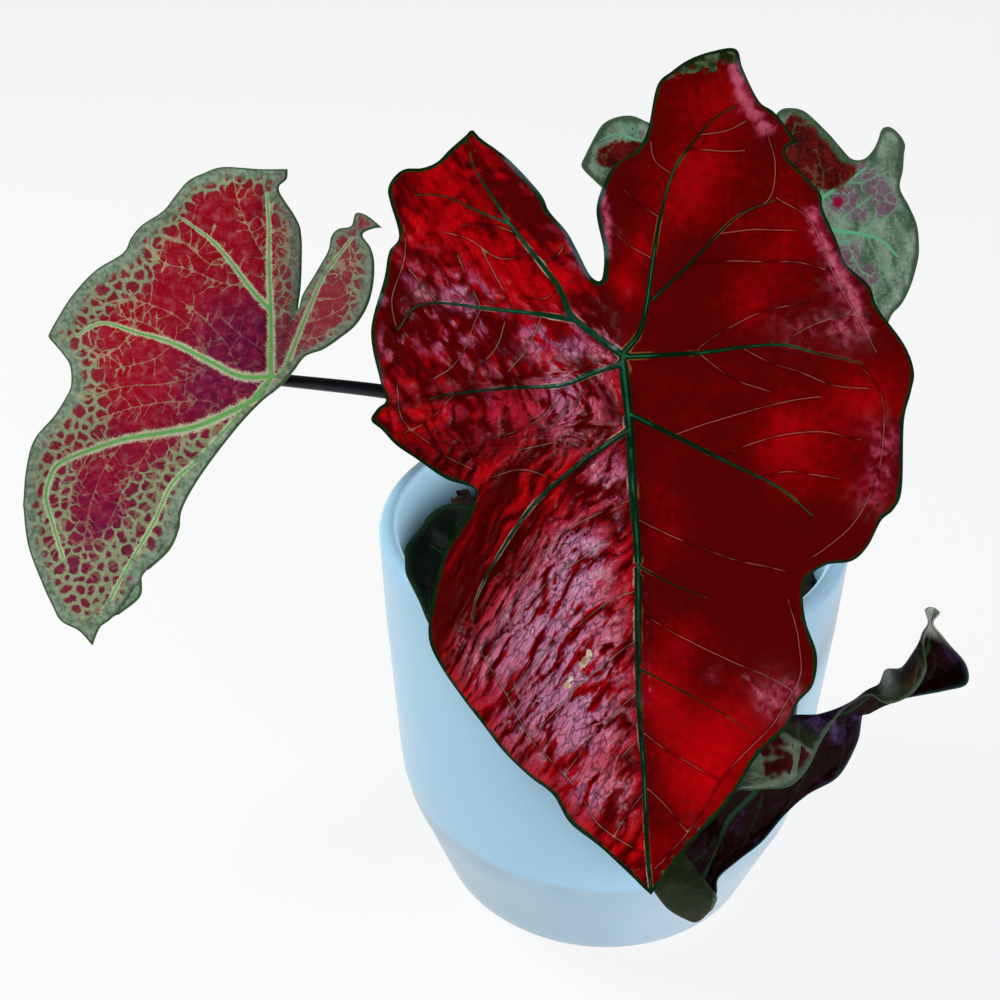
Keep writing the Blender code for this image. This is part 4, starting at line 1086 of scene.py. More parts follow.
def left_colour(wire):
    """Crimson, then its mottled net, twigs, pale halos, green veins, wide margin and painted shade
    on the folded half.
    """
    vein, side, net, edge, across, along = wire.marks("vein side net edge across along")
    crimson, green, purple = wire.marks("crimson green purple")
    fine = wire.flat_grain(across * 0.8, along * 0.8, 4)
    jag = wire.flat_grain(across * 2.2, along * 2.2, 3) - 0.5
    blot = wire.flat_grain(across * 0.35, along * 0.35, 3) - 0.5
    pink = (purple + jag * 0.5).rise(0.0, 1.1).fade((148, 4, 26), (104, 12, 58))
    streak = wire.flat_grain(across * 0.25, along * 0.45, 4, 1.2)
    pink = (streak.rise(0.4, 0.7) * 0.4).fade(pink, (178, 44, 70))
    wash = (blot + jag * 0.3).rise(0.0, 0.2) * 0.3
    pink = wash.fade(pink, (170, 108, 106))
    pale = fine.fade((94, 112, 76), (168, 178, 140))
    reach = edge + crimson * 9 - green * 9
    out = (reach + blot * 12 + jag * 3).rise(15.0, 3.0)
    pink = (out * 0.6).fade(pink, fine.fade((82, 22, 38), (124, 52, 66)))
    thick = 0.05 + out * 0.62 + blot * 2.4 * out
    web = (net + jag * 1.2) / thick.highest(0.05)
    colour = (web.rise(1.2, 0.5) * (out * 1.6 + 0.05).lowest(1.0)).fade(pink, pale)
    twig = 0.1 + out * 0.2 + jag * 0.7 + blot * 0.5
    twig = (side / twig.highest(0.04)).rise(1.3, 0.5) * (0.3 + fine * 0.7)
    twig = twig * (1 - purple.lowest(1.0) * 0.65)
    colour = twig.fade(colour, (168, 166, 122))
    halo = (vein - jag * 3.4 - blot * 2.0).rise(2.2, 1.2)
    colour = (halo * 0.85).fade(colour, (194, 198, 162))
    fresh = fine.fade((76, 144, 70), (126, 190, 108))
    colour = (vein - jag * 0.6).rise(0.95, 0.5).fade(colour, fresh)
    rim = edge + crimson * 2 - green * 2 + blot * 9 + jag * 2
    margin = (fine * 0.7 + blot * 0.6 + 0.15).rise(0.25, 0.75).fade((76, 104, 76), (146, 168, 146))
    colour = (rim.rise(4.2, 1.8) * 0.92).fade(colour, margin)
    # Painted shade: the folded right half is made darker and greyer.
    colour = (wire["folded"] * 0.35).fade(colour, (92, 66, 70))
    colour = (edge + jag * 0.5).rise(0.8, 0.2).fade(colour, (60, 86, 50))
    beneath = (fine * 0.3 + 0.4).fade(colour, (132, 146, 118))
    beneath = wire["from_vein"].rise(1.2, 0.5).fade(beneath, (150, 176, 112))
    return wire["under"].fade(colour, beneath)


def soft_bump(wire):
    height = wire.grain(1100, 3, 0.6)
    return wire.node("Bump", {}, {"Strength": 0.4, "Distance": 0.0006, "Height": height})


coat(left, "pink_green_leaf", left_colour, lambda wire: 0.5 + wire.grain(300) * 0.15,
     **{"Normal": soft_bump, "Specular IOR Level": 0.03})


# Back leaf: pale grey-green blade mottled with mauve, leaning back behind the front leaf, its
# upper lobe hooked forward. Its inner part is red, painted darker there as shade.
BACK_OUTLINE = (
    (779, 111), (792, 108), (804, 111), (815, 120), (830, 135), (842, 149), (852, 159), (864, 159),
    (873, 150), (878, 140), (882, 129), (890, 127), (899, 134), (905, 144), (904, 155), (903, 170),
    (900, 188), (909, 206), (917, 225), (919, 245), (918, 260), (911, 285), (902, 303), (890, 317),
    (880, 345), (862, 380), (838, 415), (812, 440), (800, 420), (780, 400), (752, 375), (720, 345),
    (690, 310), (660, 270), (635, 235), (615, 200), (595, 180), (582, 166), (585, 156), (594, 138),
    (603, 124), (617, 117), (633, 116), (650, 123), (675, 130), (705, 140), (730, 160), (750, 185),
    (760, 160), (768, 130),
)
BACK_CORNERS = ((812, 440), (750, 185))
BACK_VEINS = (
    (1.8, 0.8, ((765, 228), (790, 222), (822, 198), (845, 183), (866, 168))),
    (2.0, 0.8, ((765, 228), (800, 226), (834, 230), (860, 234), (881, 240), (897, 256))),
    (2.0, 0.8, ((765, 228), (785, 280), (800, 340), (810, 390), (812, 430))),
    (1.5, 0.6, ((765, 228), (775, 180), (790, 140), (797, 120))),
    (1.8, 0.6, ((765, 228), (720, 190), (670, 155), (620, 135), (600, 140))),
    (1.5, 0.6, ((765, 228), (720, 250), (680, 270))),
    (1.5, 0.6, ((778, 270), (820, 290), (860, 310), (880, 320))),
)
BACK_SIDES = (
    ((834, 230), (850, 212), (872, 195)),
    ((860, 234), (880, 220), (898, 205)),
    ((840, 231), (852, 255), (862, 275)),
    ((868, 238), (880, 262), (888, 285)),
    ((845, 183), (862, 182), (885, 172)),
    ((822, 198), (822, 175), (815, 150)),
    ((797, 224), (812, 190), (815, 165)),
    ((640, 142), (628, 128), (618, 122)),
    ((620, 135), (612, 148), (600, 158)),
)


# Its relief: the lean of the midrib and the fold along it, the waves of the margin, and the
# place, depth and width of the hooked lobe's curl
BACK_TILT = 0.22
BACK_HALF = 50.0
BACK_FOLD = 7.0
BACK_REACH = 55.0
BACK_WAVES = (3.2, 5, 1.1)
BACK_HOOK = (45.0, 30.0)
BACK_HOOK_CURL = 9.0
BACK_HOOK_AREA = 60.0
BACK_LEAN = 0.32


def back_depth(u, v):
    """Leans back, folds lightly along its midrib, and curls forward at the hooked lobe."""
    fold = -BACK_FOLD * np.abs(u + BACK_TILT * v) / BACK_HALF
    waves = frill(u, v, BACK_REACH, *BACK_WAVES)
    from_hook = (u - BACK_HOOK[0]) ** 2 + (v - BACK_HOOK[1]) ** 2
    hook = -BACK_HOOK_CURL * np.exp(-from_hook / BACK_HOOK_AREA)
    return fold + waves + hook + BACK_LEAN * v


BACK = Leaf("back_leaf", 430, (765, 228), BACK_OUTLINE, BACK_CORNERS, BACK_VEINS, BACK_SIDES,
            back_depth)
# Where it is red, painted dark as shade, where it is mauve, and its two magenta spots
BACK_RED_AND_SHADE = (
    (815, 150, 20, 1.2), (800, 130, 14, 1.0), (770, 190, 50, 0.9), (832, 178, 12, 0.9),
    (620, 158, 16, 1.0), (605, 156, 10, 0.7), (640, 150, 12, 0.8), (836, 160, 12, 1.0),
    (846, 172, 9, 0.8), (802, 120, 9, 0.8), (818, 136, 10, 0.8),
)
BACK_MAUVE = (
    (872, 182, 14, 1.0), (886, 204, 14, 1.0), (838, 202, 8, 1.4), (852, 160, 13, 0.9),
    (850, 195, 12, 0.7), (845, 258, 16, 0.9), (868, 275, 16, 0.8), (640, 135, 8, 0.6),
    (612, 132, 8, 0.5), (858, 215, 12, 0.7),
)
BACK_MAGENTA = ((838, 202, 6, 1.2), (830, 214, 4, 0.6))


def back_wrinkles(u, v):
    """Soft puffs and upright folds over the whole blade."""
    fold = 0.5 * cloud(u / 4, v / 12, 31) + 0.2 * cloud(u / 2, v / 2, 32)
    return fold, {"red": patches(BACK, BACK_RED_AND_SHADE, u, v), "mauve": patches(BACK, BACK_MAUVE, u, v),
                  "magenta": patches(BACK, BACK_MAGENTA, u, v)}


back = new_piece("back_leaf_fine", blade(BACK, back_wrinkles, step=1.0, cell=4.2, net_rise=0.9,
                                         puff=0.3, seed=33, twig_gap=7, twig_length=5),
                 "back_leaf")


def back_colour(wire):
    """Grey-green, then mauve cells, the red part painted dark as shade, twigs, veins and margin.
    """
    vein, side, across, along = wire.marks("vein side across along")
    fine = wire.flat_grain(across * 0.9, along * 0.9, 4)
    jag = wire.flat_grain(across * 1.8, along * 1.8, 3) - 0.5
    blot = wire.flat_grain(across * 0.22, along * 0.12, 4, 0.5) - 0.5
    colour = (fine * 0.5 + blot + 0.25).rise(0.25, 0.75).fade((64, 94, 72), (140, 160, 142))
    mauve = wire["mauve"] + blot * 1.2 + jag * 0.6
    cells = (wire["net"] + jag * 0.8 + blot).rise(0.0, 0.4)
    colour = (mauve.rise(0.3, 0.7) * cells * 0.85).fade(colour, fine.fade((84, 44, 52),
                                                                         (134, 96, 122)))
    magenta = wire["magenta"] + jag * 1.4
    colour = magenta.rise(0.4, 0.7).fade(colour, (136, 12, 52))
    # The red part: the leaf's own red, painted dark as shade.
    red_and_shade = (wire["red"] + blot + jag * 0.5).rise(0.3, 0.6)
    red = (fine + blot).rise(0.3, 0.7).fade((58, 8, 4), (104, 18, 14))
    red = ((side + jag * 0.6).rise(0.2, 0.05) * 0.3).fade(red, (96, 84, 44))
    colour = red_and_shade.fade(colour, red)
    twig = side + jag * 0.8
    colour = (twig.rise(0.45, 0.1) * (0.7 - red_and_shade * 0.66)).fade(colour, (112, 158, 126))
    colour = ((vein + jag).rise(1.3, 0.7) * (1 - red_and_shade * 0.9)).fade(colour, (98, 170, 128))
    rim = wire["edge"] + blot * 4 + jag * 1.2 - red_and_shade * 0.6
    colour = rim.rise(2.6, 0.8).fade(colour, fine.fade((40, 66, 44), (84, 112, 82)))
    beneath = (fine * 0.3 + 0.4).fade(colour, (96, 122, 92))
    return wire["under"].fade(colour, beneath)


coat(back, "pale_mottled_leaf", back_colour, lambda wire: 0.5 + wire.grain(300) * 0.15,
     **{"Normal": soft_bump, "Specular IOR Level": 0.03})


# Low leaf: a young dark green blade, painted near-black as shade. It lies over the pot's rim
# under the front leaf and bends down in front of the wall, on a short stalk of its own.
LOW_OUTLINE = (
    (449, 504), (438, 508), (428, 516), (421, 527), (411, 539), (405, 548), (405, 561), (406, 573),
    (414, 590), (421, 604), (427, 620), (440, 645), (462, 672), (490, 690), (520, 700), (545, 690),
    (560, 665), (566, 635), (562, 605), (552, 578), (540, 555), (528, 548), (515, 540), (500, 530),
    (485, 515), (468, 505),
)
LOW_CORNERS = ((520, 700),)
LOW_VEINS = (
    (1.4, 0.6, ((507, 578), (504, 643), (514, 687))),
    (1.0, 0.5, ((507, 578), (460, 600), (431, 607))),
    (1.0, 0.5, ((507, 578), (457, 560), (431, 546))),
    (1.0, 0.5, ((507, 578), (475, 549), (457, 524))),
    (1.0, 0.5, ((507, 578), (522, 600), (547, 618))),
)
LOW_SIDES = (
    ((480, 590), (465, 575), (440, 580)),
    ((478, 566), (462, 580), (436, 592)),
    ((506, 610), (480, 630), (462, 650)),
)


# Its relief: how steeply it leans over the rim, where and how softly it bends there, how far
# in front of the sheet it lies, its slope from side to side, and its crumples
LOW_SLOPE = 0.59
LOW_BEND = -3.0
LOW_SOFTNESS = 6.0
LOW_FORWARD = 22.0
LOW_SIDE_SLOPE = 0.15
LOW_SIDE_START = -26.3
LOW_CRUMPLE = (0.8, 4.0)


def low_depth(u, v):
    """Level over the rim, then bent down in front of the wall."""
    level = v - LOW_BEND
    drape = LOW_SLOPE * (level + np.hypot(level, LOW_SOFTNESS))
    crumple = LOW_CRUMPLE[0] * np.sin(u / LOW_CRUMPLE[1])
    return drape - LOW_FORWARD - LOW_SIDE_SLOPE * (u - LOW_SIDE_START) + crumple


LOW = Leaf("low_leaf", 360, (500, 600), LOW_OUTLINE, LOW_CORNERS, LOW_VEINS, LOW_SIDES,
           low_depth)


def low_wrinkles(u, v):
    """Shallow crumples."""
    return 0.3 * cloud(u / 3, v / 3, 41), {}


low_leaf = new_piece("low_leaf_fine", blade(LOW, low_wrinkles, step=1.0, cell=4.5, net_rise=0.4,
                                            puff=0.45, seed=43), "low_leaf")


def low_colour(wire):
    # Painted shade: the green is near-black, for the shade under the front leaf.
    green = wire.grain(90, 3).fade((0, 7, 3), (6, 24, 12))
    green = wire["edge"].rise(2.0, 0.6).fade(green, (14, 44, 24))
    green = (wire["side"].rise(0.4, 0.1) * 0.3).fade(green, (22, 46, 26))
    return (wire["vein"].rise(1.3, 0.7) * 0.5).fade(green, (24, 60, 34))


coat(low_leaf, "shade_darkened_green_leaf", low_colour, lambda wire: 0.4 + wire.grain(300) * 0.2,
     **{"Normal": soft_bump, "Specular IOR Level": 0.06})


# Curled leaf: an old blade, drying dark, rolled at its tip and twisted to a hook at its other
# end, with a flap folded over that shows its paler face. Each row runs across the blade, as
# places in the picture and millimetres away from it.
CURLED = Leaf("curled_leaf", 345, (790, 745), (), (), (), (), None)
CURLED_ROWS = (
    ((640, 815, -5), (660, 830, -6), (676, 844, -7), (688, 858, -7), (702, 876, -7),
     (716, 894, -6)),
    ((636, 850, -9), (654, 866, -10), (668, 880, -11), (682, 890, -11), (699, 897, -10),
     (717, 900, -8)),
    ((644, 876, -8), (657, 896, -7), (668, 909, -6), (683, 918, -5), (697, 922, -4),
     (712, 910, -4)),
    ((654, 862, 2), (666, 884, 3), (679, 899, 4), (692, 907, 4), (705, 906, 3), (717, 893, 2)),
    ((668, 832, 6), (682, 850, 7), (696, 866, 7), (706, 877, 7), (714, 881, 6), (719, 878, 5)),
    ((690, 802, 6), (702, 820, 8), (712, 834, 8), (720, 848, 8), (728, 858, 7), (738, 861, 5)),
    ((728, 790, -3), (722, 796, -1), (718, 806, 2), (733, 822, 5), (748, 838, 6), (762, 842, 4)),
    ((762, 789, -6), (748, 784, -5), (738, 786, -1), (755, 800, 3), (772, 814, 4), (784, 816, 3)),
    ((790, 786, -7), (772, 774, -6), (755, 768, -2), (774, 780, 2), (794, 792, 3), (808, 794, 3)),
    ((808, 768, -7), (790, 752, -6), (776, 742, -2), (798, 756, 2), (820, 770, 3), (838, 776, 3)),
    ((822, 740, -6), (806, 728, -5), (791, 717, -2), (816, 728, 2), (840, 744, 3), (857, 742, 3)),
    ((838, 716, -5), (828, 713, -4), (820, 714, -1), (836, 717, 2), (850, 721, 3), (862, 716, 3)),
    ((851, 702, -4), (848, 703, -3), (846, 706, -1), (852, 710, 1.5), (860, 713, 3),
     (868, 713, 4)),
    ((870, 694, -4), (868, 692, -3), (867, 690, -1), (872, 696, 1.5), (879, 702, 3),
     (886, 704, 4)),
    ((888, 704, -5), (883, 694, -4.5), (884, 682, -1), (892, 684, 3), (901, 691, 4),
     (908, 698, 3)),
    ((912, 694, -8), (905, 680, -7), (901, 668, -1), (916, 666, 6), (932, 678, 7), (945, 691, 3)),
    ((926, 672, -8), (917, 660, -7), (913, 652, -1), (930, 654, 7), (949, 667, 8), (967, 684, 3)),
    ((925, 654, -6), (920, 647, -5), (919, 642, -1), (931, 642, 5), (948, 650, 6), (966, 664, 2)),
    ((923, 638, -4), (921, 636, -3), (923, 632, 0), (931, 633, 3), (939, 637, 3.5), (947, 641, 2)),
    ((925, 626, -2.5), (924, 624, -1), (926, 621, 1), (931, 622, 2), (936, 624, 2), (940, 626, 1)),
    ((924, 610, -2), (925, 609, -0.5), (928, 607, 1), (933, 607, 2), (937, 609, 1.5),
     (941, 613, 0)),
)
CURLED_ACROSS = 70
CURLED_LONG = 320
CURLED_THICKNESS = 0.5
CURLED_MIDRIB = 0.55
# Along and across it, from 0 to 1: where it is pinched to its hook, where a pale flake stands
# out and where the rolled edge tucks in, each as (middle, reach) along and then across
CURLED_PINCH = (0.955, 0.03)
CURLED_FLAKE = (0.715, 0.02, 0.38, 0.16)
CURLED_TUCK = (0.44, 0.06, 0.4, 0.14)
# How far the pinch narrows it, and how far flake and tuck pull its points, right and up
PINCH_SHARE = 0.6
FLAKE_PULL = (-1.0, 2.4)
TUCK_PULL = (-3.4, 0.0)
# Its crumples, as (number along, number across, height, seed)
CURLED_CRUMPLES = ((46, 7, 0.5, 51), (110, 16, 0.25, 52))


def grid_triangles(rows, columns):
    """Two triangles to each square of a grid of points that lie row after row."""
    corner = (np.arange(rows - 1)[:, None] * columns + np.arange(columns - 1)).ravel()
    beside, above = corner + 1, corner + columns
    pairs = np.stack((corner, beside, above + 1, corner, above + 1, above), axis=1)
    return pairs.reshape(-1, 3)


def bump_at(along, across, spot):
    """1 at a spot of the blade, falling off softly round it."""
    return hump(along - spot[0], spot[1]) * hump(across - spot[2], spot[3])


def curled_mesh():
    """The rows joined to a smooth sheet, pinched, tucked and crumpled, with its marks."""
    rows = [spline(row, CURLED_ACROSS) for row in CURLED_ROWS]
    lines = [spline([row[i] for row in rows], CURLED_LONG) for i in range(CURLED_ACROSS)]
    grid = np.array(lines).transpose(1, 0, 2).reshape(-1, 3)
    flat = sheet(CURLED, grid[:, :2])
    along = np.repeat(np.linspace(0, 1, CURLED_LONG), CURLED_ACROSS)
    across = np.tile(np.linspace(0, 1, CURLED_ACROSS), CURLED_LONG)
    middle = np.repeat(flat.reshape(CURLED_LONG, CURLED_ACROSS, 2).mean(axis=1),
                       CURLED_ACROSS, axis=0)
    flake = bump_at(along, across, CURLED_FLAKE)
    tuck = bump_at(along, across, CURLED_TUCK)
    pinch = PINCH_SHARE * hump(along - CURLED_PINCH[0], CURLED_PINCH[1])
    flat = flat + (middle - flat) * pinch[:, None]
    u, v = (flat + flake[:, None] * FLAKE_PULL + tuck[:, None] * TUCK_PULL).T
    edge = np.minimum(across, 1 - across) * 2
    crumple = sum(height * cloud(along * count, across * rows_across, seed)
                  for count, rows_across, height, seed in CURLED_CRUMPLES)
    width = np.repeat(np.ptp(u.reshape(CURLED_LONG, CURLED_ACROSS), axis=1), CURLED_ACROSS)
    away = grid[:, 2] + crumple * smooth(edge * 4) * smooth((width - 5) / 8)
    top = on_sight_line(CURLED, u, v, away)
    surface = top.reshape(CURLED_LONG, CURLED_ACROSS, 3)
    normal = np.cross(np.gradient(surface, axis=1), np.gradient(surface, axis=0)).reshape(-1, 3)
    normal /= np.linalg.norm(normal, axis=1)[:, None] + TINY
    from_midrib = np.abs(across - CURLED_MIDRIB)
    slanted = (along * 9 + from_midrib * 3.4) % 1
    flap = smooth((0.46 - across) / 0.08) * smooth((along - 0.3) / 0.03)
    flap *= smooth((0.49 - along) / 0.03)
    # Where a violet sheen is painted: three bands along the roll.
    dusk = smooth((0.6 - along) / 0.03) * smooth((along - 0.49) / 0.03)
    dusk += smooth((0.2 - along) / 0.05) * smooth((0.9 - across) / 0.1)
    dusk += smooth((along - 0.8) / 0.04) * smooth((across - 0.7) / 0.15)
    marks = {"edge": edge, "vein": from_midrib / 0.02, "long": along, "flap": flap,
             "side": np.abs(slanted - 0.5), "dusk": dusk, "flake": flake}
    return mesh_of("curled_leaf", top, top + normal * CURLED_THICKNESS,
                   grid_triangles(CURLED_LONG, CURLED_ACROSS), marks,
                   np.array((across, along)).T)


curled = new_piece("curled_leaf_fine", curled_mesh(), "curled_leaf")


def curled_colour(wire):
    """Near-black top with a painted violet sheen and a grey tip; olive back, its flap dry as
    paper.
    """
    vein, side, edge, long, dusk = wire.marks("vein side edge long dusk")
    fine = wire.grain(320, 3)
    jag = wire.grain(420, 3) - 0.5
    dark = wire.grain(90, 3).fade((14, 3, 2), (36, 6, 8))
    streak = wire.grain(260, 4, 0.6, (1, 1, 0.3)).rise(0.42, 0.62)
    violet = streak.fade((28, 10, 30), (84, 62, 104))
    # Painted sheen: violet streaks in random patches and where the sheen is placed.
    violet_sheen_amount = wire.grain(150, 2).rise(0.55, 0.75) * 0.3 + dusk * 0.85
    dark = violet_sheen_amount.lowest(1.0).fade(dark, violet)
    dark = ((side + jag * 0.08).rise(0.06, 0.02) * 0.5).fade(dark, (26, 46, 28))
    dark = (vein + jag).rise(1.3, 0.6).fade(dark, (26, 58, 34))
    dark = ((edge - jag * 0.1).rise(0.09, 0.02) * 0.8).fade(dark, (38, 62, 68))
    tip = long.rise(0.86, 0.97)
    dark = tip.fade(dark, fine.fade((70, 76, 66), (170, 176, 160)))
    olive = wire.grain(110, 3).fade((18, 24, 12), (50, 60, 36))
    olive = (wire.grain(70, 2).rise(0.45, 0.7) * 0.6).fade(olive, (60, 26, 20))
    lines = (side + jag * 0.2).rise(0.08, 0.02) * long.rise(0.2, 0.35)
    olive = (lines * 0.5).fade(olive, (66, 82, 56))
    paper = fine.fade((58, 76, 60), (132, 150, 128))
    blotch = wire.grain(120, 2) + jag * 0.2 - (side + jag * 0.1).rise(0.14, 0.04) * 0.4
    paper = blotch.rise(0.46, 0.56).fade(paper, (66, 14, 20))
    olive = (wire["flap"] + (fine - 0.5) * 0.4).rise(0.3, 0.7).fade(olive, paper)
    # Painted sheen: violet on the olive face too.
    olive = (dusk * long.rise(0.3, 0.4)).fade(olive, violet)
    olive = (edge - jag * 0.2).rise(0.12, 0.04).fade(olive, (74, 96, 76))
    colour = wire["under"].fade(olive, dark)
    pale = wire["flake"].highest(tip * 0.8)
    return (pale * 0.9).fade(colour, fine.fade((120, 130, 118), (214, 220, 212)))


coat(curled, "dry_dark_leaf", curled_colour, lambda wire: 0.4 + wire.grain(300) * 0.2,
     **{"Normal": soft_bump, "Specular IOR Level": 0.04})


# Stalks: five slender, round, near-black leaf stalks. Each grows out of the tuber's crown
# through the soil and bends up to the underside of its blade.
TUBER_HEIGHT = 80.0
TUBER_RADIUS = 23.0
TUBER_FLATNESS = 0.62
STALK_RADIUS = 1.9
STALK_RING = 16
STALK_STEPS = 90
STALK_TOP = 3.2
# How much wider than the rest its foot is, what it loses on the way up, and its soft ridges
STALK_FOOT = 1.5
STALK_TAPER = 0.55
STALK_RIDGES = (0.03, 3, 6)
# Each stalk: where it stands on the tuber, the points it bends through, its blade, and where
# on the blade it ends
STALKS = {
    "front": ((3, -9), ((2, -9, 130), (0, -10, 165), (-2, -22, 186)), FRONT, (0, 0)),
    "left": ((-11, 3), ((-14, 6, 125), (-24, 10, 146), (-45, 17, 157), (-70, 24, 159)), LEFT,
             (-2.5, 0.5)),
    "back": ((7, 10), ((9, 15, 122), (18, 34, 138), (33, 60, 150), (48, 84, 168)), BACK, (0, 0)),
    "low": ((-8, -8), ((-13, -15, 117), (-22, -30, 124)), LOW, (2, 6)),
    "curled": ((12, -3), ((15, -14, 122), (22, -34, 142), (34, -52, 145), (42, -62.5, 126)),
               CURLED, None),
}
CURLED_STALK_SEAT = (794, 743, 2.2)
BLADE_CLEAR = 0.9
CROWN_CLEAR = 0.88
JOINT_REACH = 2.5
STALK_LEAD = 5


def stalk_end(leaf, joint):
    """Where a stalk meets the underside of its blade, and the way out of the blade there."""
    if joint is None:
        u, v = sheet(leaf, [CURLED_STALK_SEAT[:2]]).T
        return on_sight_line(leaf, u, v, np.array(CURLED_STALK_SEAT[2:]))[0], AWAY
    u = joint[0] + JOINT_REACH * np.array((-1, 1, 0, 0))
    v = joint[1] + JOINT_REACH * np.array((0, 0, -1, 1))
    left_end, right_end, low_end, high_end = on_sight_line(leaf, u, v, leaf.depth(u, v))
    facing = np.cross(right_end - left_end, high_end - low_end)
    facing /= np.linalg.norm(facing)
    u, v = np.array(joint, float).reshape(2, 1)
    return on_sight_line(leaf, u, v, leaf.depth(u, v) + BLADE_CLEAR)[0], -facing


def stalk_mesh(name, path):
    """A tapering round tube along a path, its ends closed."""
    run = np.gradient(path, axis=0)
    run /= np.linalg.norm(run, axis=1)[:, None]
    ridge, ridges, twist = STALK_RIDGES
    points = []
    sideways = np.array((1.0, 0.2, 0.1))
    for i, (place, ahead) in enumerate(zip(path, run)):
        sideways = sideways - ahead * (sideways @ ahead)
        sideways /= np.linalg.norm(sideways)
        third = np.cross(ahead, sideways)
        radius = STALK_RADIUS * (STALK_FOOT - STALK_TAPER * i / (len(path) - 1))
        for turn in np.linspace(0, 2 * math.pi, STALK_RING, endpoint=False):
            swell = radius * (1 + ridge * math.sin(ridges * turn + i / twist))
            points.append(place + swell * (math.cos(turn) * sideways + math.sin(turn) * third))
    faces = [tuple(range(STALK_RING))[::-1]]
    for i in range(len(path) - 1):
        for j in range(STALK_RING):
            a = i * STALK_RING + j
            b = i * STALK_RING + (j + 1) % STALK_RING
            faces.append((a, b, b + STALK_RING, a + STALK_RING))
    faces.append(tuple(len(points) - STALK_RING + j for j in range(STALK_RING)))
    mesh = bpy.data.meshes.new(name)
    mesh.from_pydata((np.array(points) * MM).tolist(), [], faces)
    return mesh


def stalk_colour(wire):
    return wire.grain(60, 3).fade((6, 6, 16), (26, 16, 32))


for name, (spot, middle, leaf, joint) in STALKS.items():
    crown = TUBER_FLATNESS * math.sqrt(TUBER_RADIUS ** 2 - spot[0] ** 2 - spot[1] ** 2)
    seat, outward = stalk_end(leaf, joint)
    top = seat + outward * STALK_TOP
    foot = (*spot, TUBER_HEIGHT + crown + CROWN_CLEAR)
    path = spline([foot, *middle, top + outward * STALK_LEAD, top], STALK_STEPS)
    stalk = new_piece(name + "_stalk_fine", stalk_mesh(name + "_stalk", path),
                      name + "_stalk")
    coat(stalk, name + "_stalk_skin", stalk_colour, 0.32, **{"Specular IOR Level": 0.25})


# Soil: dark, crumbly potting mix, filling the pot to a little below its rim. The CAD piece
# stays, with a crust of crumbs laid over it.
SOIL_TOP = 108.0
SOIL_RADIUS = 62.9
SOIL_EDGE = 0.5
SOIL_STEP = 0.9
SOIL_JITTER = 0.2
STALK_HOLE = 4.2
CRUST_HEIGHT = 2.4
CRUST_DEPTH = 2.2
CRUST_FALL = 2.0
CRUST_BEVEL = 5
# Its unevenness, each as (height, width, seed)
CRUMBS = (0.9, 3, 62)
GRIT = (0.5, 1.4, 63)
MOUNDS = (0.8, 9, 64)
SOIL_SEED = 61
CRUMB_EDGE = 0.7


def soil_colour(wire):
    brown = wire.grain(350, 5, 0.7).rise(0.3, 0.75).fade((22, 13, 9), (74, 50, 36))
    return wire.grain(900, 2).rise(0.68, 0.78).fade(brown, (120, 96, 72))


def soil_mesh():
    """A crust on the soil: a crumbly sheet with a skirt, open round the stalks' feet."""
    square = np.array(((-SOIL_RADIUS, -SOIL_RADIUS), (SOIL_RADIUS, SOIL_RADIUS)))
    points = hexagons(square, SOIL_STEP, SOIL_JITTER, SOIL_SEED)
    points = points[np.hypot(*points.T) < SOIL_RADIUS - SOIL_EDGE]
    for foot, *_ in STALKS.values():
        points = points[np.hypot(*(points - foot).T) > STALK_HOLE]
    flat, triangles = triangulated(points)
    crumbs, grit, mounds = (height * cloud(*flat.T / width, seed)
                            for height, width, seed in (CRUMBS, GRIT, MOUNDS))
    crumbs = CRUMBS[0] * np.abs(crumbs / CRUMBS[0]) ** CRUMB_EDGE
    fall = smooth((np.hypot(*flat.T) - SOIL_RADIUS + CRUST_BEVEL) / CRUST_BEVEL)
    height = SOIL_TOP + CRUST_HEIGHT + crumbs + np.abs(grit) + mounds - CRUST_FALL * fall
    sides = flat[triangles] - flat[np.roll(triangles, 1, axis=1)]
    triangles = triangles[np.linalg.norm(sides, axis=2).max(axis=1) < 3 * SOIL_STEP]
    top = np.column_stack((flat, height))
    return mesh_of("soil_crust", top, top - (0, 0, CRUST_DEPTH), triangles, {}, flat)


crust = new_piece("soil_crust", soil_mesh(), None)
for earth, name in ((crust, "potting_soil"), (bpy.data.objects["soil"], "packed_soil")):
    coat(earth, name, soil_colour, 0.95, **{"Specular IOR Level": 0.2})


# Tuber: the knobbly brown root stock that the stalks grow from, round and flattened. It lies
# buried in the soil, so the CAD piece stays as it is and only takes its colour.
def tuber_colour(wire):
    return wire.grain(160, 4).fade((70, 46, 30), (134, 98, 66))


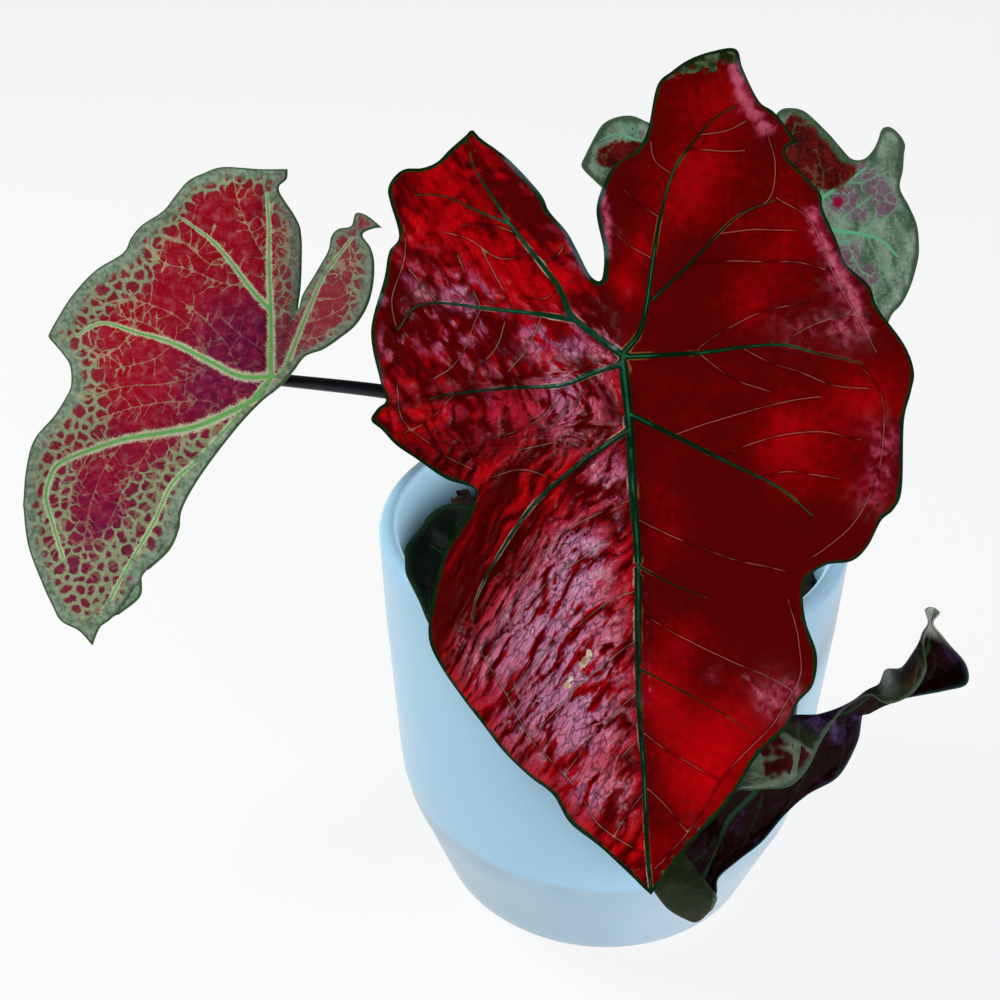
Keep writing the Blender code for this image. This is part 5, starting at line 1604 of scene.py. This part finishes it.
coat(bpy.data.objects["tuber"], "tuber_skin", tuber_colour, 0.85)


# Dry sheath: the papery foot of an old stalk, dark reddish brown with a cream mark. It stands
# upright in the soil, open on one side and torn along its top.
SHEATH_FOOT = (-43.0, 22.0, 109.8)
SHEATH_TOP = (-47.0, 27.0, 121.0)
SHEATH_RADIUS = 4.6
SHEATH_TAPER = 0.25
SHEATH_START = -140
SHEATH_TURN = 250
SHEATH_THICKNESS = 0.4
SHEATH_CREASE = 0.08
SHEATH_ROWS = 40
SHEATH_COLUMNS = 60


def sheath_mesh():
    """Part of a cone, creased down its length, with an inner and an outer face."""
    rise = np.repeat(np.linspace(0, 1, SHEATH_ROWS), SHEATH_COLUMNS)
    turn = np.radians(SHEATH_START + SHEATH_TURN * np.linspace(0, 1, SHEATH_COLUMNS))
    turn = np.tile(turn, SHEATH_ROWS)
    centre = np.outer(1 - rise, SHEATH_FOOT) + np.outer(rise, SHEATH_TOP)
    torn = np.sin(5 * turn + 1) + 0.5 * np.sin(11 * turn + 2)
    ragged = rise * (0.9 * np.sin(3 * turn) + 0.3 * torn)
    crease = SHEATH_CREASE * np.sin(9 * turn + 2 * np.sin(2 * turn))
    radius = SHEATH_RADIUS * (1 - SHEATH_TAPER * rise) + crease
    outer, inner = (centre + np.column_stack((size * np.cos(turn), size * np.sin(turn), ragged))
                    for size in (radius, radius - SHEATH_THICKNESS))
    cream = hump(turn + 0.7, 0.4) * hump(rise - 0.5, 0.2)
    return mesh_of("dry_sheath", outer, inner, grid_triangles(SHEATH_ROWS, SHEATH_COLUMNS),
                   {"cream": cream}, outer[:, :2])


def sheath_colour(wire):
    brown = wire.grain(300, 3, 0.6, (1, 1, 0.2)).fade((40, 14, 8), (112, 52, 34))
    cream = wire["cream"] + wire.grain(400, 2) - 0.5
    return cream.rise(0.4, 0.8).fade(brown, (206, 182, 150))


sheath = new_piece("dry_sheath_fine", sheath_mesh(), "dry_sheath")
coat(sheath, "papery_sheath", sheath_colour, 0.7)


write_size()
